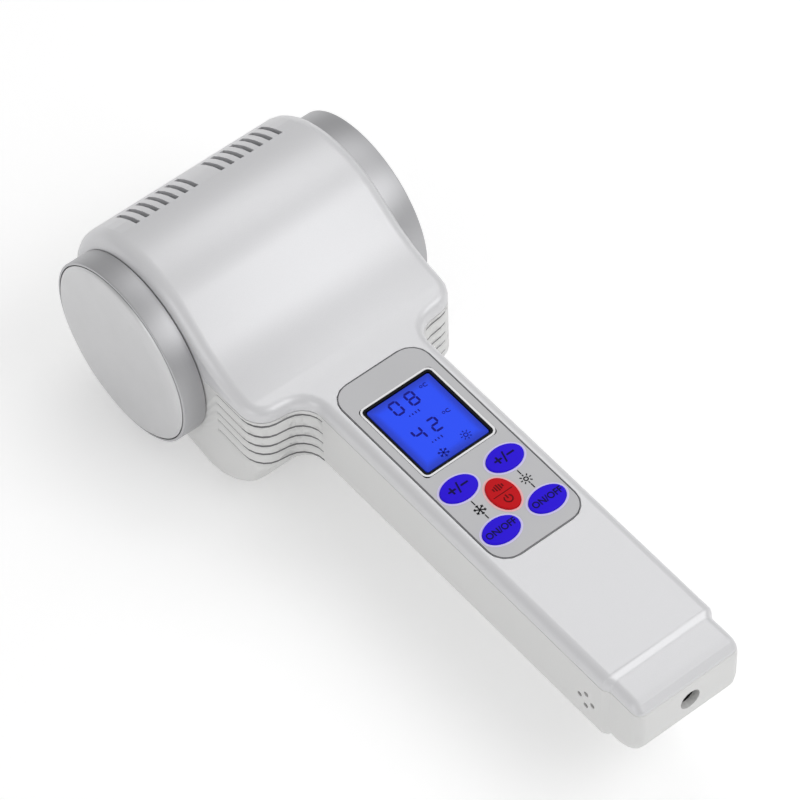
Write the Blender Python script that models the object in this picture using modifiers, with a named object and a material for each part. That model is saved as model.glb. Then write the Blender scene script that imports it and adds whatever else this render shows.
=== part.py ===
"""Hot and cold facial device: a hammer-shaped hand-held beauty tool with a chilled plate at one end
of its drum, a heated plate at the other, and five sprung keys and a display on its handle.

X runs along the drum and is positive at the heated plate, the handle points to -Y, and +Z is the
side with the keys. Heights and lengths are taken from the drum's axis, and place() moves them into
the frame whose origin lies under the middle of the device. All lengths are in metres.
"""

import math
from collections import namedtuple

import bmesh
import bpy
from mathutils import Matrix, Vector

# Fits
GAP = 0.0003
SLIDE_GAP = 0.0004
CUT_OVERRUN = 0.0015

# Drum and head
DRUM_RADIUS = 0.0300
HEAD_HALF_WIDTH = 0.0321
DRUM_EDGE = 0.0040
WALL = 0.0020
HANDLE_TOP = 0.0125
TOP_BLEND_RADIUS = 0.0400
SHOULDER_REACH = 0.0470
SHOULDER_FALL = 0.0006
CORNER_RADIUS = 0.0066
NECK_RADIUS = 0.0062
JAW_END_ANGLE = math.radians(53.5)
JAW_RUN = 0.0045
JAW_EDGE = 0.0040
UNDERSIDE_EDGE = 0.0160
UNDERSIDE_RUN = 0.0280
SHOULDER_EDGE = 0.0028

# Handle
HANDLE_HALF_WIDTH = 0.0171
HANDLE_DEPTH = 0.0250
HANDLE_REACH = 0.1710
HANDLE_EDGE_TOP = 0.0026
HANDLE_EDGE_BOTTOM = 0.0046
STEP_SETBACK = 0.0125
STEP_RUN = 0.0022
STEP_HEIGHT = 0.0011
END_ROUND = 0.0040
END_ROUND_BACK = 0.0100
END_CORNER = 0.0024

# Parting plane and grooves
PARTING_HEIGHT = 0.0085
GROOVE_DEPTH = 0.0013
GROOVE_HEIGHT = 0.0026
GROOVE_LIP = 0.0002
GROOVE_OUTSIDE = 0.0008
GROOVE_START = 0.0300
GROOVE_CHEEK_HEIGHTS = (0.0078, 0.0042, 0.0006, -0.0025, -0.0064)
GROOVE_NECK_HEIGHTS = (0.0071, 0.0022, -0.0016, -0.0051, -0.0085)

# Vent slots
VENT_COUNT = 7
VENT_PITCH = 0.00305
VENT_WIDTH = 0.0013
VENT_LENGTH = 0.0110
VENT_GROUP_OFFSET = 0.0134
VENT_ANGLE = math.radians(56.5)

# Treatment plates and their rings
RING_SETBACK = 0.0040
RING_REACH = 0.0069
RING_LIP = 0.0007
RING_EDGE = 0.0003
PLATE_CROWN = 0.0012
PLATE_ROLL = 0.0055
PLATE_SEAT_DEPTH = 0.0015
PLATE_OVERHANG = 0.0038
RING_SPIGOT_WALL = 0.0014
COLLAR_LIP = 0.0026
COLLAR_LENGTH = 0.0026

# Cooling stack
MODULE_THICKNESS = 0.0034
SINK_BASE = 0.0030
SINK_FIN_COUNT = 7
SINK_FIN_THICKNESS = 0.0014
FAN_DEPTH = 0.0080
FAN_INSET = 0.0062
FAN_WALL = 0.0011
FAN_TIP_GAP = 0.0007
FAN_HUB_RADIUS = 0.0065
FAN_BLADES = 7
FAN_BLADE_THICKNESS = 0.0008
FAN_BLADE_ANGLE = math.radians(40.0)
FAN_BLADE_CHORD = 0.0052
FAN_SPIDER = 0.0012
FAN_STRUT_WIDTH = 0.0016
FAN_SCREW_RADIUS = 0.0008
FAN_SCREW_HEAD = 0.0014
FAN_SCREW_HEAD_HEIGHT = 0.0010

# Heating stack
HEATER_CLEARANCE = 0.0004
HEATER_THICKNESS = 0.0015
BACKING_THICKNESS = 0.0018
THERMISTOR_RADIUS = 0.0014
THERMISTOR_LENGTH = 0.0032

# Vibration motor
MOTOR_RADIUS = 0.0060
MOTOR_START = 0.0080
MOTOR_BACK_GAP = 0.0036
MOTOR_BORE_DEPTH = 0.0045
MOTOR_SHAFT_RADIUS = 0.0010
MOTOR_SHAFT_LENGTH = 0.0070
WEIGHT_RADIUS = 0.0052
WEIGHT_LENGTH = 0.0042
WEIGHT_HUB_RADIUS = 0.0022
CLAMP_WALL = 0.0018
CLAMP_LENGTH = 0.0080
CLAMP_LEG_WIDTH = 0.0070

# Control panel
PANEL_SIDE = 0.0034
PANEL_SETBACK = 0.0049
PANEL_FOOT = 0.0082
PANEL_CORNER = 0.0056
PANEL_THICKNESS = 0.0008
PANEL_PROUD = 0.0001
LCD_SIDE = 0.0026
LCD_LENGTH = 0.0262
LCD_INSET = 0.0086
LCD_BORDER = 0.0010
LCD_CORNER = 0.0012
LCD_FRAME_PROUD = 0.0002

# Keys and switches
KEY_SIDE = 0.0012
KEY_FROM_MIDDLE = 0.0020
KEY_SHORT = 0.0074
KEY_SPACING = 0.0160
KEY_TO_LCD = 0.0075
KEY_PROUD = 0.0007
KEY_TRAVEL = 0.00055
KEY_EDGE = 0.0004
KEY_FLANGE = 0.0005
KEY_FLANGE_THICKNESS = 0.0008
KEY_STEM_RADIUS = 0.0016
SWITCH_SIDE = 0.0060
SWITCH_HEIGHT = 0.0037
SWITCH_WELL_DEPTH = 0.0014
KEY_STEM_CLEARANCE = 0.00025

# Circuit board and what it carries
BOARD_SIDE_GAP = 0.0026
BOARD_SETBACK = 0.0031
BOARD_END_SETBACK = 0.0260
BOARD_THICKNESS = 0.0016
BOARD_DEPTH = 0.0085
BOARD_SCREW_GAP = 0.0004
BOARD_SCREW_INSET = 0.0055
BOARD_SCREW_LENGTH = 0.0050
CHIP_SIDE = 0.0100
CHIP_HEIGHT = 0.0018
CAPACITOR_RADIUS = 0.0040
CAPACITOR_LENGTH = 0.0090
CAPACITOR_SPACING = 0.0200
CAPACITOR_INSET = 0.0005

# Screws and their posts
POST_RADIUS = 0.0031
SCREW_RADIUS = 0.0011
SCREW_HEAD_RADIUS = 0.0022
SCREW_HEAD_HEIGHT = 0.0014
SCREW_SEAT = 0.0030
PILOT_DEPTH = 0.0080
SHOULDER_SCREW_INSET = 0.0087
SHOULDER_SCREW_SETBACK = 0.0250
END_SCREW_SETBACK = 0.0210

# Power inlet and buzzer
INLET_HEIGHT = 0.0025
INLET_BORE = 0.0030
JACK_WIDTH = 0.0090
JACK_HEIGHT = 0.0090
JACK_LENGTH = 0.0105
JACK_BORE_DEPTH = 0.0088
JACK_PIN_RADIUS = 0.0009
JACK_PIN_LENGTH = 0.0046
BUZZER_RADIUS = 0.0047
BUZZER_LENGTH = 0.0045
BUZZER_SETBACK = 0.0178
BUZZER_HEIGHT = -0.0017
SOUND_HOLE_RADIUS = 0.0008
SOUND_HOLE_SPREAD = 0.0023

# Wires
WIRE_RADIUS = 0.0007
LEAD_EXIT = 0.0060
LEAD_APPROACH = 0.0050

# Places and sizes that follow from the ones above
AXIS_HEIGHT = DRUM_RADIUS
AXIS_Y = (HANDLE_REACH - DRUM_RADIUS) / 2
JAW_REACH = SHOULDER_REACH - JAW_RUN
JAW_LENGTH = JAW_REACH - DRUM_RADIUS * math.sin(JAW_END_ANGLE)
STEP_REACH = HANDLE_REACH - STEP_SETBACK
RING_RADIUS = DRUM_RADIUS - RING_SETBACK
RING_FRONT = HEAD_HALF_WIDTH + RING_REACH
PLATE_RADIUS = RING_RADIUS - RING_LIP - GAP
PLATE_FACE = RING_FRONT + PLATE_CROWN
PLATE_BOSS_RADIUS = PLATE_RADIUS - PLATE_OVERHANG
RING_BORE = PLATE_BOSS_RADIUS + SLIDE_GAP
RING_SPIGOT_RADIUS = RING_BORE + RING_SPIGOT_WALL
COLLAR_RADIUS = RING_SPIGOT_RADIUS + COLLAR_LIP
MODULE_SIDE = math.sqrt(2) * (RING_BORE - SLIDE_GAP)
SINK_FIN_LENGTH = HEAD_HALF_WIDTH - MODULE_THICKNESS - 2 * GAP - SINK_BASE - FAN_DEPTH - FAN_INSET
FAN_BORE = MODULE_SIDE / 2 - FAN_WALL
FAN_TIP_RADIUS = FAN_BORE - FAN_TIP_GAP
THERMISTOR_HEIGHT = (MODULE_SIDE / 2 + RING_BORE) / 2
HEATER_RADIUS = THERMISTOR_HEIGHT - THERMISTOR_RADIUS - HEATER_CLEARANCE
HEATING_STACK = HEATER_THICKNESS + GAP + BACKING_THICKNESS
MOTOR_LENGTH = HEAD_HALF_WIDTH - HEATING_STACK - MOTOR_BACK_GAP - MOTOR_START
PANEL_WIDTH = 2 * (HANDLE_HALF_WIDTH - PANEL_SIDE)
PANEL_REACH = SHOULDER_REACH + PANEL_SETBACK
LCD_WIDTH = PANEL_WIDTH - 2 * LCD_SIDE
LCD_REACH = PANEL_REACH + LCD_INSET
KEY_LONG = PANEL_WIDTH / 2 - KEY_SIDE - KEY_FROM_MIDDLE
KEY_OFFSET = KEY_FROM_MIDDLE + KEY_LONG / 2
UPPER_KEY_REACH = LCD_REACH + LCD_LENGTH + KEY_TO_LCD
CENTRE_KEY_REACH = UPPER_KEY_REACH + KEY_SPACING / 2
LOWER_KEY_REACH = UPPER_KEY_REACH + KEY_SPACING
PANEL_LENGTH = LOWER_KEY_REACH + PANEL_FOOT - PANEL_REACH
BOARD_WIDTH = 2 * (HANDLE_HALF_WIDTH - WALL - BOARD_SIDE_GAP)
BOARD_REACH = PANEL_REACH + BOARD_SETBACK
BOARD_LENGTH = HANDLE_REACH - BOARD_END_SETBACK - BOARD_REACH
FIRST_BOARD_SCREW = LCD_REACH + LCD_LENGTH + SCREW_HEAD_RADIUS + BOARD_SCREW_GAP
SECOND_BOARD_SCREW = BOARD_REACH + BOARD_LENGTH - BOARD_SCREW_INSET
CHIP_REACH = CENTRE_KEY_REACH
CAPACITOR_REACH = CHIP_REACH + CAPACITOR_SPACING
SHOULDER_SCREW_X = HEAD_HALF_WIDTH - SHOULDER_SCREW_INSET
SHOULDER_SCREW_REACH = SHOULDER_REACH - SHOULDER_SCREW_SETBACK
END_SCREW_REACH = HANDLE_REACH - END_SCREW_SETBACK
BUZZER_REACH = HANDLE_REACH - BUZZER_SETBACK

# Facets
ROUND_STEPS = 32
SMALL_STEPS = 16
OVAL_STEPS = 16
SMOOTH_ANGLE = math.radians(35.0)
MERGE = 0.000001

DIRECTIONS = {
    "up": (0, 0, 0),
    "left": (0, -math.pi / 2, 0),
    "right": (0, math.pi / 2, 0),
    "front": (math.pi / 2, 0, 0),
}

Row = namedtuple("Row", "x y nx ny top_edge bottom_edge upright")
Steps = namedtuple("Steps", "drum cheek corner neck ledge roll strip")
OUTSIDE_STEPS = Steps(12, 8, 5, 5, 3, 3, 4)
INSIDE_STEPS = Steps(6, 6, 3, 2, 1, 2, 2)


def place(x, y, z):
    """A point given from the drum's axis, in the device's own frame."""
    return Vector((x, AXIS_Y + y, AXIS_HEIGHT + z))


def make_material(name, colour, roughness, metallic=0.0):
    material = bpy.data.materials.new(name)
    material.use_nodes = True
    shader = material.node_tree.nodes["Principled BSDF"]
    shader.inputs["Base Color"].default_value = (*colour, 1.0)
    shader.inputs["Roughness"].default_value = roughness
    shader.inputs["Metallic"].default_value = metallic
    return material


def clear_scene():
    for obj in list(bpy.data.objects):
        bpy.data.objects.remove(obj, do_unlink=True)


def make_collection(name):
    collection = bpy.data.collections.new(name)
    bpy.context.scene.collection.children.link(collection)
    return collection


def make_object(name, bm, centre=(0, 0, 0), rotation=(0, 0, 0), material=None):
    """An object from a bmesh: a piece when it has a material, a cutter when it has none."""
    bmesh.ops.remove_doubles(bm, verts=bm.verts, dist=MERGE)
    bmesh.ops.recalc_face_normals(bm, faces=bm.faces)
    mesh = bpy.data.meshes.new(name)
    bm.to_mesh(mesh)
    bm.free()
    mesh.shade_smooth()
    mesh.set_sharp_from_angle(angle=SMOOTH_ANGLE)
    obj = bpy.data.objects.new(name, mesh)
    obj.location = centre
    obj.rotation_euler = rotation
    if material:
        mesh.materials.append(material)
        bpy.data.collections["facial_device"].objects.link(obj)
    else:
        bpy.data.collections["cutters"].objects.link(obj)
        obj.hide_render = True
        obj.display_type = "WIRE"
    return obj


def combine(obj, other, operation="DIFFERENCE"):
    """The Boolean of two objects, kept as a modifier on the first."""
    modifier = obj.modifiers.new(other.name, "BOOLEAN")
    modifier.operation = operation
    modifier.solver = "EXACT"
    modifier.object = other
    return obj


def carve(shell, other, operation="DIFFERENCE"):
    """A Boolean on a housing half, whose long thin facets the exact solver leaves open."""
    combine(shell, other, operation).modifiers[-1].solver = "MANIFOLD"


def add_box(bm, size, centre, turn=None):
    turned_by = turn if turn else Matrix.Identity(4)
    matrix = Matrix.Translation(centre) @ turned_by @ Matrix.Diagonal((*size, 1.0))
    bmesh.ops.create_cube(bm, size=1.0, matrix=matrix)


def add_cylinder(bm, radius, length, centre, axis="Z", steps=SMALL_STEPS):
    turns = {
        "X": Matrix.Rotation(math.pi / 2, 4, "Y"),
        "Y": Matrix.Rotation(math.pi / 2, 4, "X"),
        "Z": Matrix.Identity(4),
    }
    bmesh.ops.create_cone(
        bm,
        cap_ends=True,
        segments=steps,
        radius1=radius,
        radius2=radius,
        depth=length,
        matrix=Matrix.Translation(centre) @ turns[axis],
    )


def add_prism(bm, outline, low, high):
    """An outline in X and Y, drawn up from one height to another."""
    face = bm.faces.new([bm.verts.new((x, y, low)) for x, y in outline])
    drawn = bmesh.ops.extrude_face_region(bm, geom=[face])
    top = [item for item in drawn["geom"] if isinstance(item, bmesh.types.BMVert)]
    bmesh.ops.translate(bm, verts=top, vec=(0, 0, high - low))


def oval(x, y, width, length, steps=SMALL_STEPS):
    turns = [2 * math.pi * step / steps for step in range(steps)]
    return [(x + width / 2 * math.cos(a), y + length / 2 * math.sin(a)) for a in turns]


def rounded_rectangle(x, y, width, length, corner, steps=4):
    points = []
    for quarter, (sx, sy) in enumerate(((1, 1), (-1, 1), (-1, -1), (1, -1))):
        cx = x + sx * (width / 2 - corner)
        cy = y + sy * (length / 2 - corner)
        for step in range(steps + 1):
            angle = (quarter + step / steps) * math.pi / 2
            points.append((cx + corner * math.cos(angle), cy + corner * math.sin(angle)))
    return points


def turned(name, profile, centre, direction, material, steps=ROUND_STEPS):
    """A profile of radius and distance along its axis, turned about that axis."""
    mesh = bpy.data.meshes.new(name)
    points = [(radius, 0, along) for radius, along in profile]
    edges = [(i, i + 1) for i in range(len(points) - 1)]
    if min(radius for radius, along in profile) > 0:
        edges.append((len(points) - 1, 0))
    mesh.from_pydata(points, edges, [])
    mesh.materials.append(material)
    obj = bpy.data.objects.new(name, mesh)
    obj.location = centre
    obj.rotation_euler = DIRECTIONS[direction]
    screw = obj.modifiers.new("turning", "SCREW")
    screw.steps = steps
    screw.render_steps = steps
    screw.use_merge_vertices = True
    screw.merge_threshold = MERGE
    bpy.data.collections["facial_device"].objects.link(obj)
    return obj


def wire(name, points, material):
    """An insulated lead inside the housing, through points given from the drum's axis."""
    curve = bpy.data.curves.new(name, "CURVE")
    curve.dimensions = "3D"
    curve.bevel_depth = WIRE_RADIUS
    curve.bevel_resolution = 1
    curve.use_fill_caps = True
    spline = curve.splines.new("POLY")
    spline.points.add(len(points) - 1)
    for target, point in zip(spline.points, points):
        target.co = (*place(*point), 1.0)
    curve.materials.append(material)
    obj = bpy.data.objects.new(name, curve)
    bpy.data.collections["facial_device"].objects.link(obj)
    return obj


def mix(low, high, share):
    return low + (high - low) * share


def step_drop(reach):
    """How far the handle's surface has stepped in, at a distance in front of the drum's axis."""
    share = min(max((reach - STEP_REACH) / STEP_RUN, 0.0), 1.0)
    return STEP_HEIGHT * (1 - math.cos(math.pi * share)) / 2


def end_surface(y, margin, flat, end_round):
    """Height and normal on the handle's stepped end, whose edge rolls over to the end face."""
    reach = -y
    roll_start = HANDLE_REACH - end_round
    if reach <= roll_start:
        return flat - step_drop(reach), Vector((0, 1))
    radius = end_round - margin
    over = min((reach - roll_start) / radius, 1.0)
    rise = math.sqrt(1 - over * over)
    return flat - step_drop(reach) - radius * (1 - rise), Vector((-over, rise))


def top_surface(y, margin=0.0):
    """Height and normal of the key side: the drum, a hollow blend, then the handle's flat top."""
    radius = DRUM_RADIUS - margin
    reach = DRUM_RADIUS + TOP_BLEND_RADIUS
    blend_height = HANDLE_TOP + TOP_BLEND_RADIUS
    blend_y = -math.sqrt(reach**2 - blend_height**2)
    if y > blend_y * radius / reach:
        height = math.sqrt(max(radius**2 - y**2, 0.0))
        return height, Vector((y, height)) / radius
    if y > blend_y:
        blend = TOP_BLEND_RADIUS + margin
        height = blend_height - math.sqrt(blend**2 - (y - blend_y) ** 2)
        return height, Vector((blend_y - y, blend_height - height)) / blend
    return end_surface(y, margin, HANDLE_TOP - margin, END_ROUND)


def bottom_surface(y, margin=0.0):
    """Height and normal of the back: drum, flat underside, the jaw's arc, then the handle."""
    radius = DRUM_RADIUS - margin
    flat = -(HANDLE_DEPTH - HANDLE_TOP) + margin
    if y > -JAW_REACH:
        over = y if y > 0 else min(y + JAW_LENGTH, 0.0)
        height = -math.sqrt(max(radius**2 - over**2, 0.0))
        return height, Vector((over, height)) / radius
    if y > -SHOULDER_REACH:
        over = JAW_REACH - JAW_LENGTH
        start = -math.sqrt(radius**2 - over**2)
        share = (-y - JAW_REACH) / JAW_RUN
        eased = share**2 * (3 - 2 * share)
        lead = share * (1 - share) ** 2 * JAW_RUN * over / -start
        return mix(start, flat, eased) + lead, Vector((0, -1))
    height, normal = end_surface(y, margin, -flat, END_ROUND_BACK)
    return -height, Vector((normal.x, -normal.y))


def lower_edge(reach):
    """Rounding between cheek and underside: it follows the ring, then narrows to the jaw."""
    flat_radius = DRUM_RADIUS - DRUM_EDGE
    round_ring = DRUM_RADIUS - math.sqrt(max(flat_radius**2 - reach**2, 0.0))
    share = min(reach / UNDERSIDE_RUN, 1.0)
    return min(round_ring, mix(UNDERSIDE_EDGE, JAW_EDGE, share))


def drum_rows(margin, steps):
    radius = DRUM_RADIUS - margin
    edge = DRUM_EDGE - margin
    for step in range(steps.drum + 1):
        y = radius * math.cos(math.pi / 2 * step / steps.drum)
        yield Row(HEAD_HALF_WIDTH - margin, y, 1, 0, edge, edge, False)


def cheek_rows(margin, steps):
    end = SHOULDER_REACH - CORNER_RADIUS
    for step in range(1, steps.cheek + 1):
        share = step / steps.cheek
        top = max(mix(DRUM_EDGE, SHOULDER_EDGE, share) - margin, GAP)
        low = lower_edge(end * share) - margin
        yield Row(HEAD_HALF_WIDTH - margin, -end * share, 1, 0, top, low, True)


def shoulder_rows(margin, steps):
    """Round the convex corner, along the shoulder and through the hollow neck to the handle."""
    tilt = math.atan(SHOULDER_FALL / NECK_RADIUS)
    top = max(SHOULDER_EDGE - margin, GAP)
    low = JAW_EDGE - margin
    centre = Vector((HEAD_HALF_WIDTH - CORNER_RADIUS, CORNER_RADIUS - SHOULDER_REACH))
    for step in range(1, steps.corner + 1):
        angle = (math.pi / 2 - tilt) * step / steps.corner
        out = Vector((math.cos(angle), -math.sin(angle)))
        point = centre + out * (CORNER_RADIUS - margin)
        yield Row(*point, *out, top, low, True)
    out = Vector((math.sin(tilt), -math.cos(tilt)))
    along = Vector((-math.cos(tilt), -math.sin(tilt)))
    corner_end = centre + out * CORNER_RADIUS
    neck_x = HANDLE_HALF_WIDTH + NECK_RADIUS
    length = (corner_end.x + NECK_RADIUS * out.x - neck_x) / math.cos(tilt)
    neck = corner_end + along * length + out * NECK_RADIUS
    for step in range(steps.neck + 1):
        share = step / steps.neck
        angle = (math.pi / 2 - tilt) * (1 - share)
        out = Vector((math.cos(angle), -math.sin(angle)))
        point = neck - out * (NECK_RADIUS + margin)
        yield Row(
            *point,
            *out,
            max(mix(SHOULDER_EDGE, HANDLE_EDGE_TOP, share) - margin, GAP),
            mix(JAW_EDGE, HANDLE_EDGE_BOTTOM, share) - margin,
            True,
        )


def handle_rows(margin, steps):
    roll_start = HANDLE_REACH - END_ROUND
    step_end = STEP_REACH + STEP_RUN
    reaches = [SHOULDER_REACH + 2 * NECK_RADIUS]
    reaches += [STEP_REACH + STEP_RUN * i / steps.ledge for i in range(steps.ledge + 1)]
    reaches += [mix(step_end, roll_start, i / steps.roll) for i in range(1, steps.roll)]
    radius = END_ROUND - margin
    for step in range(steps.roll + 1):
        reaches.append(roll_start + radius * math.sin(math.pi / 2 * step / steps.roll))
    for reach in reaches:
        half_width = HANDLE_HALF_WIDTH - margin - step_drop(reach)
        share = max(1 - (HANDLE_REACH - reach) / END_ROUND_BACK, 0.0)
        top = max(mix(HANDLE_EDGE_TOP, END_CORNER, share) - margin, GAP)
        low = max(mix(HANDLE_EDGE_BOTTOM, END_CORNER, share) - margin, GAP)
        yield Row(half_width, -reach, 1, 0, top, low, False)


def rim_points(row, margin, upper, steps):
    """One row's points from the middle of its top or bottom surface to the rim at its side."""
    surface = top_surface if upper else bottom_surface
    edge = row.top_edge if upper else row.bottom_edge
    inner_x = row.x - edge * row.nx
    inner_y = row.y - edge * row.ny
    height, normal = surface(inner_y, margin)
    if row.upright and not upper:
        normal = Vector((0, -1))
    points = [(x, inner_y, height) for x in (0, inner_x / 2, inner_x)]
    for step in range(1, steps + 1):
        angle = math.pi / 2 * step / steps
        x = inner_x + edge * row.nx * math.sin(angle)
        y = inner_y + edge * row.ny * math.sin(angle)
        down = edge * (1 - math.cos(angle))
        level = surface(y, margin)[0] if row.upright else height
        points.append((x, y - normal.x * down, level - normal.y * down))
    return points


def add_housing(bm, margin, steps):
    """The outline of drum and handle as one closed skin of rows, drawn in by a margin."""
    rings = []
    rows = []
    for stretch in (drum_rows, cheek_rows, shoulder_rows, handle_rows):
        rows += stretch(margin, steps)
    for row in rows:
        top = rim_points(row, margin, True, steps.strip)
        bottom = rim_points(row, margin, False, steps.strip)
        ring = [(-x, y, z) for x, y, z in reversed(top)] + top[1:]
        ring += bottom[::-1] + [(-x, y, z) for x, y, z in bottom[1:]]
        rings.append([bm.verts.new(place(*point)) for point in ring])
    for ring, following in zip(rings, rings[1:]):
        for i in range(len(ring)):
            j = (i + 1) % len(ring)
            bm.faces.new((ring[i], ring[j], following[j], following[i]))
    last = rings[-1]
    half = len(last) // 2
    for i in range(half - 1):
        bm.faces.new((last[i], last[i + 1], last[-2 - i], last[-1 - i]))


def groove_path():
    """The outline that a groove follows, from the cheek round the shoulder to the handle."""
    rows = [*cheek_rows(0.0, OUTSIDE_STEPS), *shoulder_rows(0.0, OUTSIDE_STEPS)]
    return [row for row in rows if -row.y > GROOVE_START]


def add_groove(bm, cheek_height, neck_height, side):
    """A wedge that follows the shoulder's outline, deepest under the ledge above it."""
    rings = []
    path = groove_path()
    for number, row in enumerate(path):
        height = mix(cheek_height, neck_height, number / (len(path) - 1))
        section = (
            (GROOVE_OUTSIDE, height),
            (-GROOVE_DEPTH, height - GROOVE_LIP),
            (GROOVE_OUTSIDE, height - GROOVE_HEIGHT),
        )
        ring = []
        for out, level in section:
            point = place(side * (row.x + row.nx * out), row.y + row.ny * out, level)
            ring.append(bm.verts.new(point))
        rings.append(ring)
    for ring, following in zip(rings, rings[1:]):
        for i in range(3):
            j = (i + 1) % 3
            bm.faces.new((ring[i], ring[j], following[j], following[i]))
    bm.faces.new(rings[0])
    bm.faces.new(rings[-1])


def add_vents(bm):
    """Two groups of slots across the drum's top, towards its back."""
    for side in (-1, 1):
        for index in range(VENT_COUNT):
            x = side * VENT_GROUP_OFFSET + (index - (VENT_COUNT - 1) / 2) * VENT_PITCH
            y = DRUM_RADIUS * math.cos(VENT_ANGLE)
            z = DRUM_RADIUS * math.sin(VENT_ANGLE)
            turn = Matrix.Rotation(VENT_ANGLE - math.pi / 2, 4, "X")
            size = (VENT_WIDTH, VENT_LENGTH, 3 * WALL)
            add_box(bm, size, place(x, y, z), turn)


def key_places():
    """Name, sideways place, reach and turned-ness of each key."""
    return (
        ("cold_temperature_key", -KEY_OFFSET, UPPER_KEY_REACH, False),
        ("warm_temperature_key", KEY_OFFSET, UPPER_KEY_REACH, False),
        ("cold_start_key", -KEY_OFFSET, LOWER_KEY_REACH, False),
        ("warm_start_key", KEY_OFFSET, LOWER_KEY_REACH, False),
        ("vibration_key", 0.0, CENTRE_KEY_REACH, True),
    )


def key_outline(x, y, tall, grow=0.0):
    width, length = (KEY_SHORT, KEY_LONG) if tall else (KEY_LONG, KEY_SHORT)
    return oval(x, y, width + 2 * grow, length + 2 * grow, OVAL_STEPS)


def screw_places():
    """Name and place of each housing screw."""
    shoulder = -SHOULDER_SCREW_REACH
    end = -END_SCREW_REACH
    return (
        ("housing_screw_left", -SHOULDER_SCREW_X, shoulder),
        ("housing_screw_right", SHOULDER_SCREW_X, shoulder),
        ("housing_screw_end", 0.0, end),
    )


def seat_height(y):
    """Where a housing screw's head bears, inside its counterbore in the back."""
    return bottom_surface(y)[0] + SCREW_SEAT


def upper_cuts():
    """The panel's recess and the openings for display and keys, as one cutter."""
    recess = bmesh.new()
    panel_y = AXIS_Y - PANEL_REACH - PANEL_LENGTH / 2
    top = AXIS_HEIGHT + HANDLE_TOP
    floor = top + PANEL_PROUD - PANEL_THICKNESS - GAP
    outline = rounded_rectangle(
        0, panel_y, PANEL_WIDTH + 2 * GAP, PANEL_LENGTH + 2 * GAP, PANEL_CORNER + GAP
    )
    add_prism(recess, outline, floor, top + CUT_OVERRUN)
    openings = bmesh.new()
    low = top - WALL - CUT_OVERRUN
    high = floor + CUT_OVERRUN / 2
    lcd_y = AXIS_Y - LCD_REACH - LCD_LENGTH / 2
    add_prism(
        openings,
        rounded_rectangle(0, lcd_y, LCD_WIDTH + 2 * GAP, LCD_LENGTH + 2 * GAP, LCD_CORNER),
        low,
        high,
    )
    for name, x, reach, tall in key_places():
        add_prism(openings, key_outline(x, AXIS_Y - reach, tall, SLIDE_GAP), low, high)
    return make_object("panel_recess", recess), make_object("panel_openings", openings)


def plate_opening():
    bm = bmesh.new()
    add_cylinder(
        bm,
        RING_SPIGOT_RADIUS + GAP,
        2 * (HEAD_HALF_WIDTH + CUT_OVERRUN),
        place(0, 0, 0),
        "X",
        ROUND_STEPS,
    )
    return make_object("plate_opening", bm)


def half_space(name, upper):
    """A block that removes everything above or below the parting plane."""
    bm = bmesh.new()
    height = 2 * DRUM_RADIUS
    offset = (height - GAP) / 2
    middle = PARTING_HEIGHT + (offset if upper else -offset)
    size = (3 * HEAD_HALF_WIDTH, 2 * HANDLE_REACH, height)
    add_box(bm, size, place(0, (DRUM_RADIUS - HANDLE_REACH) / 2, middle))
    return make_object(name, bm)


def make_shell(name, material, inner, removed):
    bm = bmesh.new()
    add_housing(bm, 0.0, OUTSIDE_STEPS)
    shell = make_object(name, bm, material=material)
    carve(shell, removed)
    carve(shell, inner)
    return shell


def shell_cavity():
    bm = bmesh.new()
    add_housing(bm, WALL, INSIDE_STEPS)
    return make_object("housing_cavity", bm)


def upper_posts():
    bm = bmesh.new()
    for name, x, y in screw_places():
        top = top_surface(y - POST_RADIUS)[0] - WALL / 4
        low = GAP / 2
        add_cylinder(bm, POST_RADIUS, top - low, place(x, y, (top + low) / 2))
    return make_object("upper_posts", bm)


def upper_pilot_holes():
    bm = bmesh.new()
    for name, x, y in screw_places():
        length = PILOT_DEPTH + CUT_OVERRUN
        middle = (PILOT_DEPTH - CUT_OVERRUN) / 2
        add_cylinder(bm, SCREW_RADIUS + GAP, length, place(x, y, middle), steps=12)
    return make_object("pilot_holes", bm)


def make_upper_shell(material, cavity, opening):
    shell = make_shell("upper_shell", material, cavity, half_space("below_parting", False))
    carve(shell, upper_posts(), "UNION")
    carve(shell, upper_pilot_holes())
    for cut in upper_cuts():
        carve(shell, cut)
    vents = bmesh.new()
    add_vents(vents)
    carve(shell, make_object("vent_slots", vents))
    carve(shell, opening)
    return shell


def board_height():
    """Height of the circuit board's lower face."""
    return HANDLE_TOP - BOARD_DEPTH - BOARD_THICKNESS


def lower_posts():
    """Posts for the housing screws, for the board's screws, and the power inlet's seat."""
    bm = bmesh.new()
    for name, x, y in screw_places():
        low = bottom_surface(y - POST_RADIUS)[0] + WALL / 2
        high = -GAP / 2
        add_cylinder(bm, POST_RADIUS, high - low, place(x, y, (high + low) / 2))
    floor = -(HANDLE_DEPTH - HANDLE_TOP) + WALL / 2
    for reach in (FIRST_BOARD_SCREW, SECOND_BOARD_SCREW):
        high = board_height() - GAP
        middle = (high + floor) / 2
        add_cylinder(bm, POST_RADIUS, high - floor, place(0, -reach, middle))
    high = INLET_HEIGHT - JACK_HEIGHT / 2 - GAP
    seat = (JACK_WIDTH, JACK_LENGTH / 2, high - floor)
    add_box(bm, seat, place(0, jack_middle(), (high + floor) / 2))
    return make_object("lower_posts", bm)


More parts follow.
